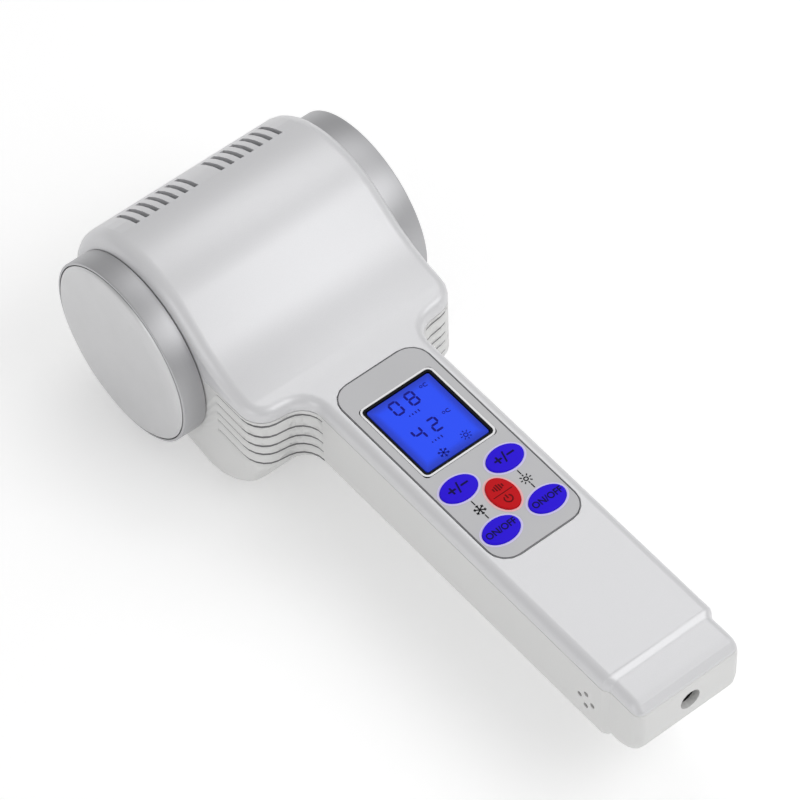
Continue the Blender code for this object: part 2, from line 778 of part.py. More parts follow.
def lower_holes():
    """Clearance holes and counterbores for the housing screws, and the board screws' holes."""
    bm = bmesh.new()
    for name, x, y in screw_places():
        seat = seat_height(y)
        length = 2 * CUT_OVERRUN - seat
        add_cylinder(bm, SCREW_RADIUS + GAP, length, place(x, y, seat / 2), steps=12)
    for reach in (FIRST_BOARD_SCREW, SECOND_BOARD_SCREW):
        middle = board_height() - BOARD_SCREW_LENGTH / 2
        length = BOARD_SCREW_LENGTH + CUT_OVERRUN
        add_cylinder(bm, SCREW_RADIUS + GAP, length, place(0, -reach, middle), steps=12)
    bores = bmesh.new()
    for name, x, y in screw_places():
        seat = seat_height(y)
        low = bottom_surface(y + POST_RADIUS)[0] - CUT_OVERRUN
        middle = (seat + low) / 2
        radius = SCREW_HEAD_RADIUS + GAP
        add_cylinder(bores, radius, seat - low, place(x, y, middle))
    return make_object("screw_holes", bm), make_object("counterbores", bores)


def inlet_and_sound_holes():
    bm = bmesh.new()
    middle = -HANDLE_REACH + WALL / 2
    centre = place(0, middle, INLET_HEIGHT)
    add_cylinder(bm, INLET_BORE, WALL + 2 * CUT_OVERRUN, centre, "Y")
    x = -HANDLE_HALF_WIDTH + WALL / 2
    for along, up in ((1, 0), (-1, 0), (0, 1), (0, -1)):
        y = -BUZZER_REACH + along * SOUND_HOLE_SPREAD
        z = BUZZER_HEIGHT + up * SOUND_HOLE_SPREAD
        add_cylinder(bm, SOUND_HOLE_RADIUS, 2 * WALL, place(x, y, z), "X", 12)
    return make_object("inlet_and_sound_holes", bm)


def make_lower_shell(material, cavity, opening):
    shell = make_shell("lower_shell", material, cavity, half_space("above_parting", True))
    carve(shell, lower_posts(), "UNION")
    for cut in lower_holes():
        carve(shell, cut)
    carve(shell, inlet_and_sound_holes())
    for number, heights in enumerate(zip(GROOVE_CHEEK_HEIGHTS, GROOVE_NECK_HEIGHTS), 1):
        groove = bmesh.new()
        for side in (-1, 1):
            add_groove(groove, *heights, side)
        carve(shell, make_object(f"groove_{number}", groove))
    carve(shell, opening)
    return shell


def rounded_corner(radius, along, corner, steps=3, depth=None):
    """Profile points round an outer edge, from the flat face to the side."""
    angles = [math.pi / 2 * step / steps for step in range(steps + 1)]
    depth = depth or corner
    return [
        (radius - corner + corner * math.sin(a), along - depth + depth * math.cos(a))
        for a in angles
    ]


def make_treatment_end(side, direction, plate_material, ring_material, collar_material):
    """The plate, its chrome ring and the insulating collar behind it, at one end of the drum."""
    seat = HEAD_HALF_WIDTH + GAP
    floor = RING_FRONT - PLATE_SEAT_DEPTH
    back = floor + GAP
    plate = [(0, PLATE_FACE)]
    plate += rounded_corner(PLATE_RADIUS, PLATE_FACE, PLATE_ROLL, 4, PLATE_CROWN)
    plate += [(PLATE_RADIUS, back), (PLATE_BOSS_RADIUS, back)]
    plate += [(PLATE_BOSS_RADIUS, seat), (0, seat)]
    turned(f"{side}_plate", plate, place(0, 0, 0), direction, plate_material)
    spigot = HEAD_HALF_WIDTH - WALL - GAP
    recess = PLATE_RADIUS + GAP
    ring = [(RING_BORE, floor), (recess, floor), (recess, RING_FRONT)]
    ring += rounded_corner(RING_RADIUS, RING_FRONT, RING_EDGE, 2)
    ring += [(RING_RADIUS, seat), (RING_SPIGOT_RADIUS, seat)]
    ring += [(RING_SPIGOT_RADIUS, spigot), (RING_BORE, spigot)]
    turned(f"{side}_ring", ring, place(0, 0, 0), direction, ring_material)
    top = spigot - GAP
    low = top - COLLAR_LENGTH
    collar = [(RING_BORE, top), (COLLAR_RADIUS, top), (COLLAR_RADIUS, low), (RING_BORE, low)]
    turned(f"{side}_collar", collar, place(0, 0, 0), direction, collar_material)


def module_back():
    """Distance from the centre plane to the inner face of the cooling module."""
    return HEAD_HALF_WIDTH - MODULE_THICKNESS


def fin_pitch():
    return (MODULE_SIDE - SINK_FIN_THICKNESS) / (SINK_FIN_COUNT - 1)


def fan_front():
    """Distance from the centre plane to the fan's face at the heat sink."""
    return FAN_INSET + FAN_DEPTH


def make_cooling_stack(ceramic, aluminium, black):
    module = bmesh.new()
    add_box(module, (MODULE_THICKNESS, MODULE_SIDE, MODULE_SIDE), (0, 0, 0))
    middle = place(-(module_back() + MODULE_THICKNESS / 2), 0, 0)
    make_object("cooling_module", module, middle, material=ceramic)
    outline = [(-MODULE_SIDE / 2, 0)]
    for index in range(SINK_FIN_COUNT):
        left = -MODULE_SIDE / 2 + index * fin_pitch()
        right = left + SINK_FIN_THICKNESS
        tip = SINK_BASE + SINK_FIN_LENGTH
        outline += [(left, SINK_BASE)] if index else []
        outline += [(left, tip), (right, tip)]
        outline += [(right, SINK_BASE)] if index < SINK_FIN_COUNT - 1 else []
    outline.append((MODULE_SIDE / 2, 0))
    sink = bmesh.new()
    add_prism(sink, outline[::-1], -MODULE_SIDE / 2, MODULE_SIDE / 2)
    place_at = place(-(module_back() - GAP), 0, 0)
    make_object("heat_sink", sink, place_at, (0, 0, -math.pi / 2), aluminium)
    make_fan(black)


def screw_corner():
    """Offset of the fan's screws: the middle of the outermost gap between the sink's fins."""
    return fin_pitch() * (SINK_FIN_COUNT - 2) / 2


def make_fan(black):
    """A square fan: frame with a three-armed spider, and the rotor that turns on it."""
    frame_bm = bmesh.new()
    add_box(frame_bm, (FAN_DEPTH, MODULE_SIDE, MODULE_SIDE), (0, 0, 0))
    centre = place(-(fan_front() - FAN_DEPTH / 2), 0, 0)
    frame = make_object("fan_frame", frame_bm, centre, material=black)
    bore = bmesh.new()
    length = FAN_DEPTH + 2 * CUT_OVERRUN
    add_cylinder(bore, FAN_BORE, length, centre, "X", ROUND_STEPS)
    for sy in (-1, 1):
        for sz in (-1, 1):
            at = centre + Vector((0, sy * screw_corner(), sz * screw_corner()))
            add_cylinder(bore, FAN_SCREW_RADIUS + GAP, length, at, "X", 10)
    combine(frame, make_object("fan_bore", bore))
    spider = bmesh.new()
    spider_x = centre.x + (FAN_DEPTH - FAN_SPIDER) / 2
    inner = FAN_HUB_RADIUS / 2
    outer = FAN_BORE + GAP
    for arm in range(3):
        turn = Matrix.Rotation(2 * math.pi * arm / 3, 4, "X")
        at = Vector((spider_x, centre.y, centre.z)) + turn @ Vector((0, 0, (inner + outer) / 2))
        add_box(spider, (FAN_SPIDER - GAP, FAN_STRUT_WIDTH, outer - inner), at, turn)
    combine(frame, make_object("fan_arms", spider), "UNION")
    hub = bmesh.new()
    add_cylinder(hub, FAN_HUB_RADIUS, FAN_SPIDER, Vector((spider_x, centre.y, centre.z)), "X")
    combine(frame, make_object("fan_spider_hub", hub), "UNION")
    make_rotor(centre, black)


def make_rotor(centre, black):
    low = -FAN_DEPTH / 2 + GAP
    high = FAN_DEPTH / 2 - FAN_SPIDER - GAP
    hub = bmesh.new()
    add_cylinder(hub, FAN_HUB_RADIUS, high - low, (0, 0, (high + low) / 2), steps=24)
    rotor = make_object("fan_rotor", hub, centre, DIRECTIONS["right"], black)
    blades = bmesh.new()
    reach = FAN_TIP_RADIUS - FAN_HUB_RADIUS / 2
    for blade in range(FAN_BLADES):
        turn = Matrix.Rotation(2 * math.pi * blade / FAN_BLADES, 4, "Z")
        pitch = turn @ Matrix.Rotation(FAN_BLADE_ANGLE, 4, "X")
        at = turn @ Vector((FAN_HUB_RADIUS / 2 + reach / 2, 0, (high + low) / 2))
        add_box(blades, (reach, FAN_BLADE_THICKNESS, FAN_BLADE_CHORD), at, pitch)
    cutter = make_object("fan_blades", blades, centre, DIRECTIONS["right"])
    combine(rotor, cutter, "UNION")


def screw_profile(length, shaft, head, head_height):
    profile = [(0, length), (shaft, length), (shaft, 0), (head, 0)]
    return profile + [(head, -head_height), (0, -head_height)]


def make_fan_screws(steel):
    start = fan_front() - FAN_DEPTH - GAP
    sink_floor = module_back() - GAP - SINK_BASE
    length = sink_floor - start - GAP
    profile = screw_profile(
        length, FAN_SCREW_RADIUS, FAN_SCREW_HEAD, FAN_SCREW_HEAD_HEIGHT
    )
    for number, (sy, sz) in enumerate(((-1, -1), (-1, 1), (1, -1), (1, 1)), 1):
        at = place(-start, sy * screw_corner(), sz * screw_corner())
        turned(f"fan_screw_{number}", profile, at, "left", steel, 10)


def make_heating_stack(film, aluminium):
    top = HEAD_HALF_WIDTH
    low = top - HEATER_THICKNESS
    heater = [(0, top), (HEATER_RADIUS, top), (HEATER_RADIUS, low), (0, low)]
    turned("heater_element", heater, place(0, 0, 0), "right", film, 32)
    top = low - GAP
    low = top - BACKING_THICKNESS
    backing = [(0, top), (HEATER_RADIUS, top), (HEATER_RADIUS, low), (0, low)]
    turned("heater_backing_plate", backing, place(0, 0, 0), "right", aluminium, 32)


def make_thermistors(glass):
    top = HEAD_HALF_WIDTH
    low = top - THERMISTOR_LENGTH
    radius = THERMISTOR_RADIUS
    profile = [(0, top), *rounded_corner(radius, top, radius / 2, 2), (radius, low), (0, low)]
    for side, direction in (("cold", "left"), ("hot", "right")):
        at = place(0, 0, THERMISTOR_HEIGHT)
        turned(f"{side}_thermistor", profile, at, direction, glass, 12)


def make_vibration_motor(steel, brass, black):
    """The motor, its clamp on the housing's floor, and the off-centre weight on its shaft."""
    front = MOTOR_START
    back = front + MOTOR_LENGTH
    bore = MOTOR_SHAFT_RADIUS + GAP
    inner = front + MOTOR_BORE_DEPTH
    motor = [(0, back), (MOTOR_RADIUS, back), (MOTOR_RADIUS, front), (bore, front)]
    motor += [(bore, inner), (0, inner)]
    turned("vibration_motor", motor, place(0, 0, 0), "right", steel, 24)
    middle = (front + back) / 2
    ring_radius = MOTOR_RADIUS + GAP
    outer = ring_radius + CLAMP_WALL
    clamp_bm = bmesh.new()
    add_cylinder(clamp_bm, outer, CLAMP_LENGTH, place(middle, 0, 0), "X", 28)
    clamp = make_object("motor_clamp", clamp_bm, material=black)
    floor = -math.sqrt((DRUM_RADIUS - WALL) ** 2 - (CLAMP_LEG_WIDTH / 2) ** 2) + GAP
    leg = bmesh.new()
    size = (CLAMP_LENGTH - 2 * GAP, CLAMP_LEG_WIDTH, -ring_radius - floor)
    add_box(leg, size, place(middle, 0, (floor - ring_radius) / 2))
    combine(clamp, make_object("clamp_leg", leg), "UNION")
    bore_bm = bmesh.new()
    length = CLAMP_LENGTH + 2 * CUT_OVERRUN
    add_cylinder(bore_bm, ring_radius, length, place(middle, 0, 0), "X", 28)
    combine(clamp, make_object("clamp_bore", bore_bm))
    make_weight(brass)


def make_weight(brass):
    """Half a disc on a hub and shaft, hanging down, with its origin on the shaft's axis."""
    tip = MOTOR_START + MOTOR_BORE_DEPTH - GAP
    start = tip - MOTOR_SHAFT_LENGTH - MOTOR_BORE_DEPTH
    middle = (tip + start) / 2
    shaft = bmesh.new()
    add_cylinder(shaft, MOTOR_SHAFT_RADIUS, tip - start, (0, 0, 0), "X", 12)
    weight = make_object("eccentric_weight", shaft, place(middle, 0, 0), material=brass)
    disc = bmesh.new()
    turns = [math.pi * step / 14 for step in range(15)]
    outline = [(WEIGHT_RADIUS * math.sin(a), WEIGHT_RADIUS * math.cos(a)) for a in turns]
    outline += [(-WEIGHT_HUB_RADIUS, side * WEIGHT_HUB_RADIUS) for side in (-1, 1)]
    add_prism(disc, outline, -WEIGHT_LENGTH / 2, WEIGHT_LENGTH / 2)
    at = place(start + GAP + WEIGHT_LENGTH / 2, 0, 0)
    cutter = make_object("half_disc", disc, at, DIRECTIONS["right"])
    combine(weight, cutter, "UNION")


def make_panel(grey, black, glass, white):
    """The control panel, the display's frame and window in it, and the display module behind."""
    top = AXIS_HEIGHT + HANDLE_TOP
    panel_y = AXIS_Y - PANEL_REACH - PANEL_LENGTH / 2
    lcd_y = AXIS_Y - LCD_REACH - LCD_LENGTH / 2
    low = top + PANEL_PROUD - PANEL_THICKNESS
    panel_bm = bmesh.new()
    outline = rounded_rectangle(0, panel_y, PANEL_WIDTH, PANEL_LENGTH, PANEL_CORNER)
    add_prism(panel_bm, outline, low, top + PANEL_PROUD)
    panel = make_object("control_panel", panel_bm, material=grey)
    holes = bmesh.new()
    cut = (low - CUT_OVERRUN, top + CUT_OVERRUN)
    width, length = LCD_WIDTH + 2 * GAP, LCD_LENGTH + 2 * GAP
    add_prism(holes, rounded_rectangle(0, lcd_y, width, length, LCD_CORNER), *cut)
    for name, x, reach, tall in key_places():
        add_prism(holes, key_outline(x, AXIS_Y - reach, tall, SLIDE_GAP), *cut)
    combine(panel, make_object("panel_holes", holes))
    module_top = top - WALL - 2 * GAP
    module_low = AXIS_HEIGHT + board_height() + BOARD_THICKNESS + GAP
    frame_bm = bmesh.new()
    outline = rounded_rectangle(0, lcd_y, LCD_WIDTH, LCD_LENGTH, LCD_CORNER)
    add_prism(frame_bm, outline, module_top + GAP, top + LCD_FRAME_PROUD)
    frame = make_object("display_frame", frame_bm, material=black)
    inside = bmesh.new()
    inner_width = LCD_WIDTH - 2 * LCD_BORDER
    inner_length = LCD_LENGTH - 2 * LCD_BORDER
    corner = LCD_CORNER / 2
    outline = rounded_rectangle(0, lcd_y, inner_width, inner_length, corner)
    add_prism(inside, outline, module_top - CUT_OVERRUN, top + CUT_OVERRUN)
    combine(frame, make_object("display_frame_hole", inside))
    window = bmesh.new()
    outline = rounded_rectangle(
        0, lcd_y, inner_width - 2 * GAP, inner_length - 2 * GAP, corner
    )
    add_prism(window, outline, module_top + GAP, top)
    make_object("display_window", window, material=glass)
    module = bmesh.new()
    size = (LCD_WIDTH - LCD_BORDER, LCD_LENGTH - LCD_BORDER, module_top - module_low)
    add_box(module, size, Vector((0, lcd_y, (module_top + module_low) / 2)))
    make_object("display_module", module, material=white)


def make_key(name, x, reach, tall, material):
    """A key: oval cap, the flange that keeps it in the housing, and the stem to its switch."""
    flange_top = -WALL - GAP
    flange_low = flange_top - KEY_FLANGE_THICKNESS
    well = board_height() + BOARD_THICKNESS + GAP + SWITCH_HEIGHT - SWITCH_WELL_DEPTH
    stem_low = well + KEY_TRAVEL + KEY_STEM_CLEARANCE - HANDLE_TOP
    stem = oval(0, 0, 2 * KEY_STEM_RADIUS, 2 * KEY_STEM_RADIUS, OVAL_STEPS)
    cap = key_outline(0, 0, tall)
    levels = (
        (stem, stem_low),
        (stem, flange_low),
        (key_outline(0, 0, tall, KEY_FLANGE), flange_low),
        (key_outline(0, 0, tall, KEY_FLANGE), flange_top),
        (cap, flange_top),
        (cap, KEY_PROUD - KEY_EDGE),
        (key_outline(0, 0, tall, -KEY_EDGE / 3), KEY_PROUD - KEY_EDGE / 3),
        (key_outline(0, 0, tall, -KEY_EDGE), KEY_PROUD),
    )
    bm = bmesh.new()
    rings = [[bm.verts.new((px, py, z)) for px, py in points] for points, z in levels]
    for ring, following in zip(rings, rings[1:]):
        for i in range(len(ring)):
            j = (i + 1) % len(ring)
            bm.faces.new((ring[i], ring[j], following[j], following[i]))
    bm.faces.new(rings[0])
    bm.faces.new(rings[-1])
    make_object(name, bm, place(x, -reach, HANDLE_TOP), material=material)


def make_switch(name, x, reach, material):
    low = board_height() + BOARD_THICKNESS + GAP
    centre = place(x, -reach, low + SWITCH_HEIGHT / 2)
    body = bmesh.new()
    add_box(body, (SWITCH_SIDE, SWITCH_SIDE, SWITCH_HEIGHT), (0, 0, 0))
    switch = make_object(name, body, centre, material=material)
    well = bmesh.new()
    length = SWITCH_WELL_DEPTH + CUT_OVERRUN
    at = place(x, -reach, low + SWITCH_HEIGHT - SWITCH_WELL_DEPTH + length / 2)
    add_cylinder(well, KEY_STEM_RADIUS + GAP, length, at, steps=16)
    combine(switch, make_object(f"{name}_well", well))


def make_keys_and_switches(blue, red, black):
    for name, x, reach, tall in key_places():
        make_key(name, x, reach, tall, red if tall else blue)
        make_switch(name.replace("_key", "_switch"), x, reach, black)


def make_board(green, steel, black, blue):
    low = board_height()
    middle_y = -BOARD_REACH - BOARD_LENGTH / 2
    body = bmesh.new()
    centre = place(0, middle_y, low + BOARD_THICKNESS / 2)
    add_box(body, (BOARD_WIDTH, BOARD_LENGTH, BOARD_THICKNESS), (0, 0, 0))
    board = make_object("circuit_board", body, centre, material=green)
    holes = bmesh.new()
    length = BOARD_THICKNESS + 2 * CUT_OVERRUN
    for reach in (FIRST_BOARD_SCREW, SECOND_BOARD_SCREW):
        at = place(0, -reach, low + BOARD_THICKNESS / 2)
        add_cylinder(holes, SCREW_RADIUS + GAP, length, at, steps=12)
    combine(board, make_object("board_holes", holes))
    profile = screw_profile(
        -(BOARD_THICKNESS + BOARD_SCREW_LENGTH - 2 * GAP),
        SCREW_RADIUS,
        SCREW_HEAD_RADIUS,
        -SCREW_HEAD_HEIGHT,
    )
    for number, reach in enumerate((FIRST_BOARD_SCREW, SECOND_BOARD_SCREW), 1):
        at = place(0, -reach, low + BOARD_THICKNESS + GAP)
        turned(f"board_screw_{number}", profile[::-1], at, "up", steel, 16)
    chip = bmesh.new()
    add_box(chip, (CHIP_SIDE, CHIP_SIDE, CHIP_HEIGHT), (0, 0, 0))
    at = place(0, -CHIP_REACH, low - GAP - CHIP_HEIGHT / 2)
    make_object("controller_chip", chip, at, material=black)
    can = bmesh.new()
    add_cylinder(can, CAPACITOR_RADIUS, CAPACITOR_LENGTH, (0, 0, 0), "Y")
    x = BOARD_WIDTH / 2 - CAPACITOR_INSET - CAPACITOR_RADIUS
    at = place(x, -CAPACITOR_REACH, low - GAP - CAPACITOR_RADIUS)
    make_object("board_capacitor", can, at, material=blue)


def make_housing_screws(steel):
    for name, x, y in screw_places():
        seat = seat_height(y) - GAP
        length = PILOT_DEPTH - GAP - seat
        profile = screw_profile(length, SCREW_RADIUS, SCREW_HEAD_RADIUS, SCREW_HEAD_HEIGHT)
        turned(name, profile, place(x, y, seat), "up", steel, 16)


def jack_middle():
    """Where the power inlet's socket lies along the handle."""
    return -(HANDLE_REACH - WALL - GAP - JACK_LENGTH / 2)


def make_inlet(black, brass):
    body = bmesh.new()
    add_box(body, (JACK_WIDTH, JACK_LENGTH, JACK_HEIGHT), (0, 0, 0))
    centre = place(0, jack_middle(), INLET_HEIGHT)
    socket = make_object("power_socket", body, centre, material=black)
    bore = bmesh.new()
    front = jack_middle() - JACK_LENGTH / 2
    length = JACK_BORE_DEPTH + CUT_OVERRUN
    at = place(0, front + JACK_BORE_DEPTH - length / 2, INLET_HEIGHT)
    add_cylinder(bore, INLET_BORE, length, at, "Y")
    combine(socket, make_object("socket_bore", bore))
    pin_back = front + JACK_BORE_DEPTH - GAP
    edge = JACK_PIN_RADIUS / 2
    profile = [(0, JACK_PIN_LENGTH)]
    profile += rounded_corner(JACK_PIN_RADIUS, JACK_PIN_LENGTH, edge, 2)
    profile += [(JACK_PIN_RADIUS, 0), (0, 0)]
    turned("socket_pin", profile, place(0, pin_back, INLET_HEIGHT), "front", brass, 16)


def make_buzzer(black):
    bm = bmesh.new()
    add_cylinder(bm, BUZZER_RADIUS, BUZZER_LENGTH, (0, 0, 0), "X", 24)
    x = -(HANDLE_HALF_WIDTH - WALL - GAP - BUZZER_LENGTH / 2)
    make_object("buzzer", bm, place(x, -BUZZER_REACH, BUZZER_HEIGHT), material=black)


def lead(name, start, exit_by, end, approach, material, steps=6):
    """A wire that leaves its piece straight, eases across and meets the board straight."""
    first = Vector(start)
    last = Vector(end)
    left = first + Vector(exit_by)
    right = last + Vector((0, approach, 0))
    points = [first]
    for step in range(steps + 1):
        share = step / steps
        eased = share**2 * (3 - 2 * share)
        point = left.lerp(right, eased)
        point.y = mix(left.y, right.y, share)
        points.append(point)
    points.append(last)
    wire(name, points, material)


def make_leads(red, black, yellow):
    height = board_height() + BOARD_THICKNESS / 2
    edge = -(BOARD_REACH - GAP)
    beside = MODULE_SIDE / 2 + GAP + WIRE_RADIUS
    module_x = -(module_back() + MODULE_THICKNESS / 2)
    apart = BOARD_WIDTH / 8
    lead(
        "module_lead",
        (module_x, -beside, 0),
        (2 * LEAD_EXIT, 0, 0),
        (-3 * apart, edge, height),
        LEAD_APPROACH,
        red,
    )
    heater_x = HEAD_HALF_WIDTH - HEATER_THICKNESS / 2
    heater_y = -(HEATER_RADIUS + GAP + WIRE_RADIUS)
    lead(
        "heater_lead",
        (heater_x, heater_y, 0),
        (-2 * LEAD_EXIT, 0, 0),
        (3 * apart, edge, height),
        LEAD_APPROACH,
        red,
    )
    lead(
        "motor_lead",
        (MOTOR_START + MOTOR_LENGTH / 8, -(MOTOR_RADIUS + GAP), 0),
        (0, -LEAD_EXIT, 0),
        (apart, edge, height),
        LEAD_APPROACH,
        yellow,
    )
    fan_x = -(fan_front() - FAN_DEPTH / 2)
    lead(
        "fan_lead",
        (fan_x, -(MODULE_SIDE / 2 + GAP), -MODULE_SIDE / 4),
        (0, -LEAD_EXIT, 0),
        (-apart, edge, height),
        LEAD_APPROACH,
        black,
    )
    far_edge = -(BOARD_REACH + BOARD_LENGTH + GAP)
    socket_back = jack_middle() + JACK_LENGTH / 2 + GAP
    lead(
        "socket_lead",
        (JACK_WIDTH / 3, socket_back, INLET_HEIGHT),
        (0, LEAD_EXIT / 3, 0),
        (2 * apart, far_edge, height),
        -LEAD_APPROACH / 3,
        red,
    )
    buzzer_x = -(HANDLE_HALF_WIDTH - WALL - 2 * GAP - BUZZER_LENGTH)
    lead(
        "buzzer_lead",
        (buzzer_x, -BUZZER_REACH + BUZZER_RADIUS / 2, BUZZER_HEIGHT),
        (LEAD_EXIT / 3, 0, 0),
        (-2 * apart, far_edge, height),
        -LEAD_APPROACH / 3,
        black,
    )


def main():
    clear_scene()
    make_collection("facial_device")
    make_collection("cutters")
    pearl = make_material("pearl_white_plastic", (0.78, 0.78, 0.78), 0.28, 0.2)
    white = make_material("white_plastic", (0.82, 0.82, 0.81), 0.35)
    satin = make_material("satin_plate", (0.60, 0.60, 0.60), 0.30, 0.9)
    chrome = make_material("chrome", (0.70, 0.70, 0.70), 0.12, 1.0)
    grey = make_material("grey_panel", (0.55, 0.55, 0.56), 0.40)
    black = make_material("black_plastic", (0.02, 0.02, 0.02), 0.45)
    display = make_material("blue_display", (0.03, 0.09, 0.80), 0.15)
    blue = make_material("blue_key", (0.03, 0.01, 0.70), 0.35)
    red = make_material("red_key", (0.65, 0.01, 0.02), 0.35)
    green = make_material("board_green", (0.02, 0.20, 0.07), 0.50)
    steel = make_material("steel", (0.45, 0.45, 0.46), 0.30, 1.0)
    aluminium = make_material("aluminium", (0.60, 0.61, 0.62), 0.35, 1.0)
    brass = make_material("brass", (0.65, 0.45, 0.15), 0.30, 1.0)
    ceramic = make_material("ceramic", (0.85, 0.84, 0.80), 0.60)
    film = make_material("heater_film", (0.55, 0.25, 0.04), 0.40)
    yellow = make_material("yellow_wire", (0.75, 0.55, 0.05), 0.50)
    cavity = shell_cavity()
    opening = plate_opening()
    make_upper_shell(pearl, cavity, opening)
    make_lower_shell(white, cavity, opening)
    make_treatment_end("cold", "left", satin, chrome, black)
    make_treatment_end("hot", "right", satin, chrome, black)
    make_cooling_stack(ceramic, aluminium, black)
    make_fan_screws(steel)
    make_heating_stack(film, aluminium)
    make_thermistors(black)
    make_vibration_motor(steel, brass, black)
    make_panel(grey, black, display, white)
    make_keys_and_switches(blue, red, black)
    make_board(green, steel, black, blue)
    make_housing_screws(steel)
    make_inlet(black, brass)
    make_buzzer(black)
    make_leads(red, black, yellow)


if __name__ == "__main__":
    main()
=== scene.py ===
"""Dresses the hot and cold facial device: finishes, printed marks, display and studio."""

import math

import bmesh
import bpy
from mathutils import Matrix, Vector


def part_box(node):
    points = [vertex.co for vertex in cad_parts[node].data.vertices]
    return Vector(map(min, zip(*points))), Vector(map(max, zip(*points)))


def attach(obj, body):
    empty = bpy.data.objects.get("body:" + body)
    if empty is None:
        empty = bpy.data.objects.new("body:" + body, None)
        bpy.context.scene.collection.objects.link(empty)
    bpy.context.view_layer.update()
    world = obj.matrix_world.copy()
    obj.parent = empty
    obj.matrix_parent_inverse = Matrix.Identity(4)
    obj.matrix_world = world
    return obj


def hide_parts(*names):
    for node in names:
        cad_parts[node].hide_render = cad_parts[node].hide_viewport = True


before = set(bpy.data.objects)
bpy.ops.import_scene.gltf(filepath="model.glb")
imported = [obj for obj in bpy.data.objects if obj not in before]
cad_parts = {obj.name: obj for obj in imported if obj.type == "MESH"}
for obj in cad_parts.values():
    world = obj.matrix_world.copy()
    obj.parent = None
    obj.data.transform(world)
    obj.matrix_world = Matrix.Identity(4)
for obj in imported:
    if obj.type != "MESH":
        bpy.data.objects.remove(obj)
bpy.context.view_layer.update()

bl_info = {
    "name": "Hot and Cold Facial Device",
    "version": (1, 0, 0),
    "blender": (4, 5, 0),
    "location": "View3D > Sidebar > Device",
    "description": "Finishes, printed marks, display and studio of a hot and cold facial device",
    "category": "Object",
}

HOUSING = "housing"
MILLIMETRE = 0.001
FULL_TURN = 2 * math.pi

# Nearer than this, vertices of a new piece and of a CAD mesh are one

TOUCHING = 0.0001 * MILLIMETRE
JOIN = 0.001 * MILLIMETRE

# Flatter than this, two faces are one, and up to this bend they are shaded round

FLAT = math.radians(0.4)
BEND = math.radians(25.0)

# Between the shells, and between a plate's rim and its ring

GAP = 0.3 * MILLIMETRE

# Steps round a turned piece, a key's oval and a printed ring

TURN_STEPS = 144
OVAL_STEPS = 72
RING_STEPS = 24

# How far the neck's ends and the start of the plain handle lie from the drum's axis

NECK_NEAR = 34.0 * MILLIMETRE
HANDLE_NEAR = 42.0 * MILLIMETRE
NECK_FAR = 52.0 * MILLIMETRE

# The visible oval of a key

KEY_SHORT = 7.4 * MILLIMETRE
KEY_LONG = 10.5 * MILLIMETRE

# The colour sockets of a Mix node, which share their names with others

FIRST_COLOUR = 6
SECOND_COLOUR = 7
MIXED_COLOUR = 2

# The keys, whose nodes, bodies and switches are named after them

KEYS = ("cold_temperature", "warm_temperature", "cold_start", "warm_start", "vibration")
RED_KEY = "vibration"
HOUSING_SCREWS = ("housing_screw_left", "housing_screw_right", "housing_screw_end")


# Colours, lengths and lamp powers that a user can change


def linear(text):
    """The linear colour of an sRGB hex value."""
    parts = [int(text[place : place + 2], 16) / 255 for place in (1, 3, 5)]
    return tuple(
        part / 12.92 if part <= 0.04045 else ((part + 0.055) / 1.055) ** 2.4 for part in parts
    )


def colour(name, description, value):
    """A colour property, from an sRGB hex value."""
    return bpy.props.FloatVectorProperty(
        name=name,
        description=description,
        default=linear(value),
        size=3,
        min=0.0,
        max=1.0,
        subtype="COLOR",
    )


def size(name, description, millimetres):
    """A length property, from millimetres."""
    return bpy.props.FloatProperty(
        name=name,
        description=description,
        default=millimetres * MILLIMETRE,
        min=0.0,
        precision=5,
        subtype="DISTANCE",
        unit="LENGTH",
    )


def power(name, description, watts):
    """A lamp's power property, from watts."""
    return bpy.props.FloatProperty(
        name=name, description=description, default=watts, min=0.0, unit="POWER"
    )


class DeviceColours(bpy.types.PropertyGroup):
    """Colours of the finishes and inks"""

    pearl: colour("Pearl shell", "Pearl lacquer of the upper shell", "#E2E2E4")
    white: colour("White shell", "White plastic of the lower shell", "#E9E9E8")
    plate: colour("Plates", "Treatment plates", "#CFCFD0")
    ring: colour("Rings", "Satin rings round the plates", "#BDBDBF")
    net: colour("Vent net", "Grille sheet inside the drum's back", "#F2F2F4")
    # The grooves' colour is painted shade, for the dark lines under their ledges
    groove: colour("Grooves", "Painted shade in the grooves", "#808082")
    overlay: colour("Panel", "Printed film of the control panel", "#C6C6C8")
    key_blue: colour("Blue keys", "The four blue keys", "#2E10E6")
    key_red: colour("Red key", "The vibration key", "#CE101A")
    backlight: colour("Display", "Lit ground of the display", "#1E46E6")
    backlight_edge: colour("Display edge", "The display's ground near its border", "#1A34B4")
    segment: colour("Digits", "Dark segments of the display", "#0A0A8C")
    dark_ink: colour("Dark ink", "Icons and link lines", "#1A1A1E")
    blue_key_ink: colour("Ink on blue", "Marks on the blue keys", "#12064E")
    red_key_ink: colour("Ink on red", "Marks on the red key", "#66060C")
    lilac: colour("Lilac ink", "Outline round a blue key", "#E2DAFF")
    pink: colour("Pink ink", "Outline round the red key", "#FFC6C8")
    # The panel's outline is painted shade along the panel's edge
    outline: colour("Panel outline", "Painted shade line round the panel", "#5C5C60")
    white_ink: colour("White ink", "Line round the display", "#F6F6F8")
    floor: colour("Floor", "Floor of the studio", "#F4F4F4")


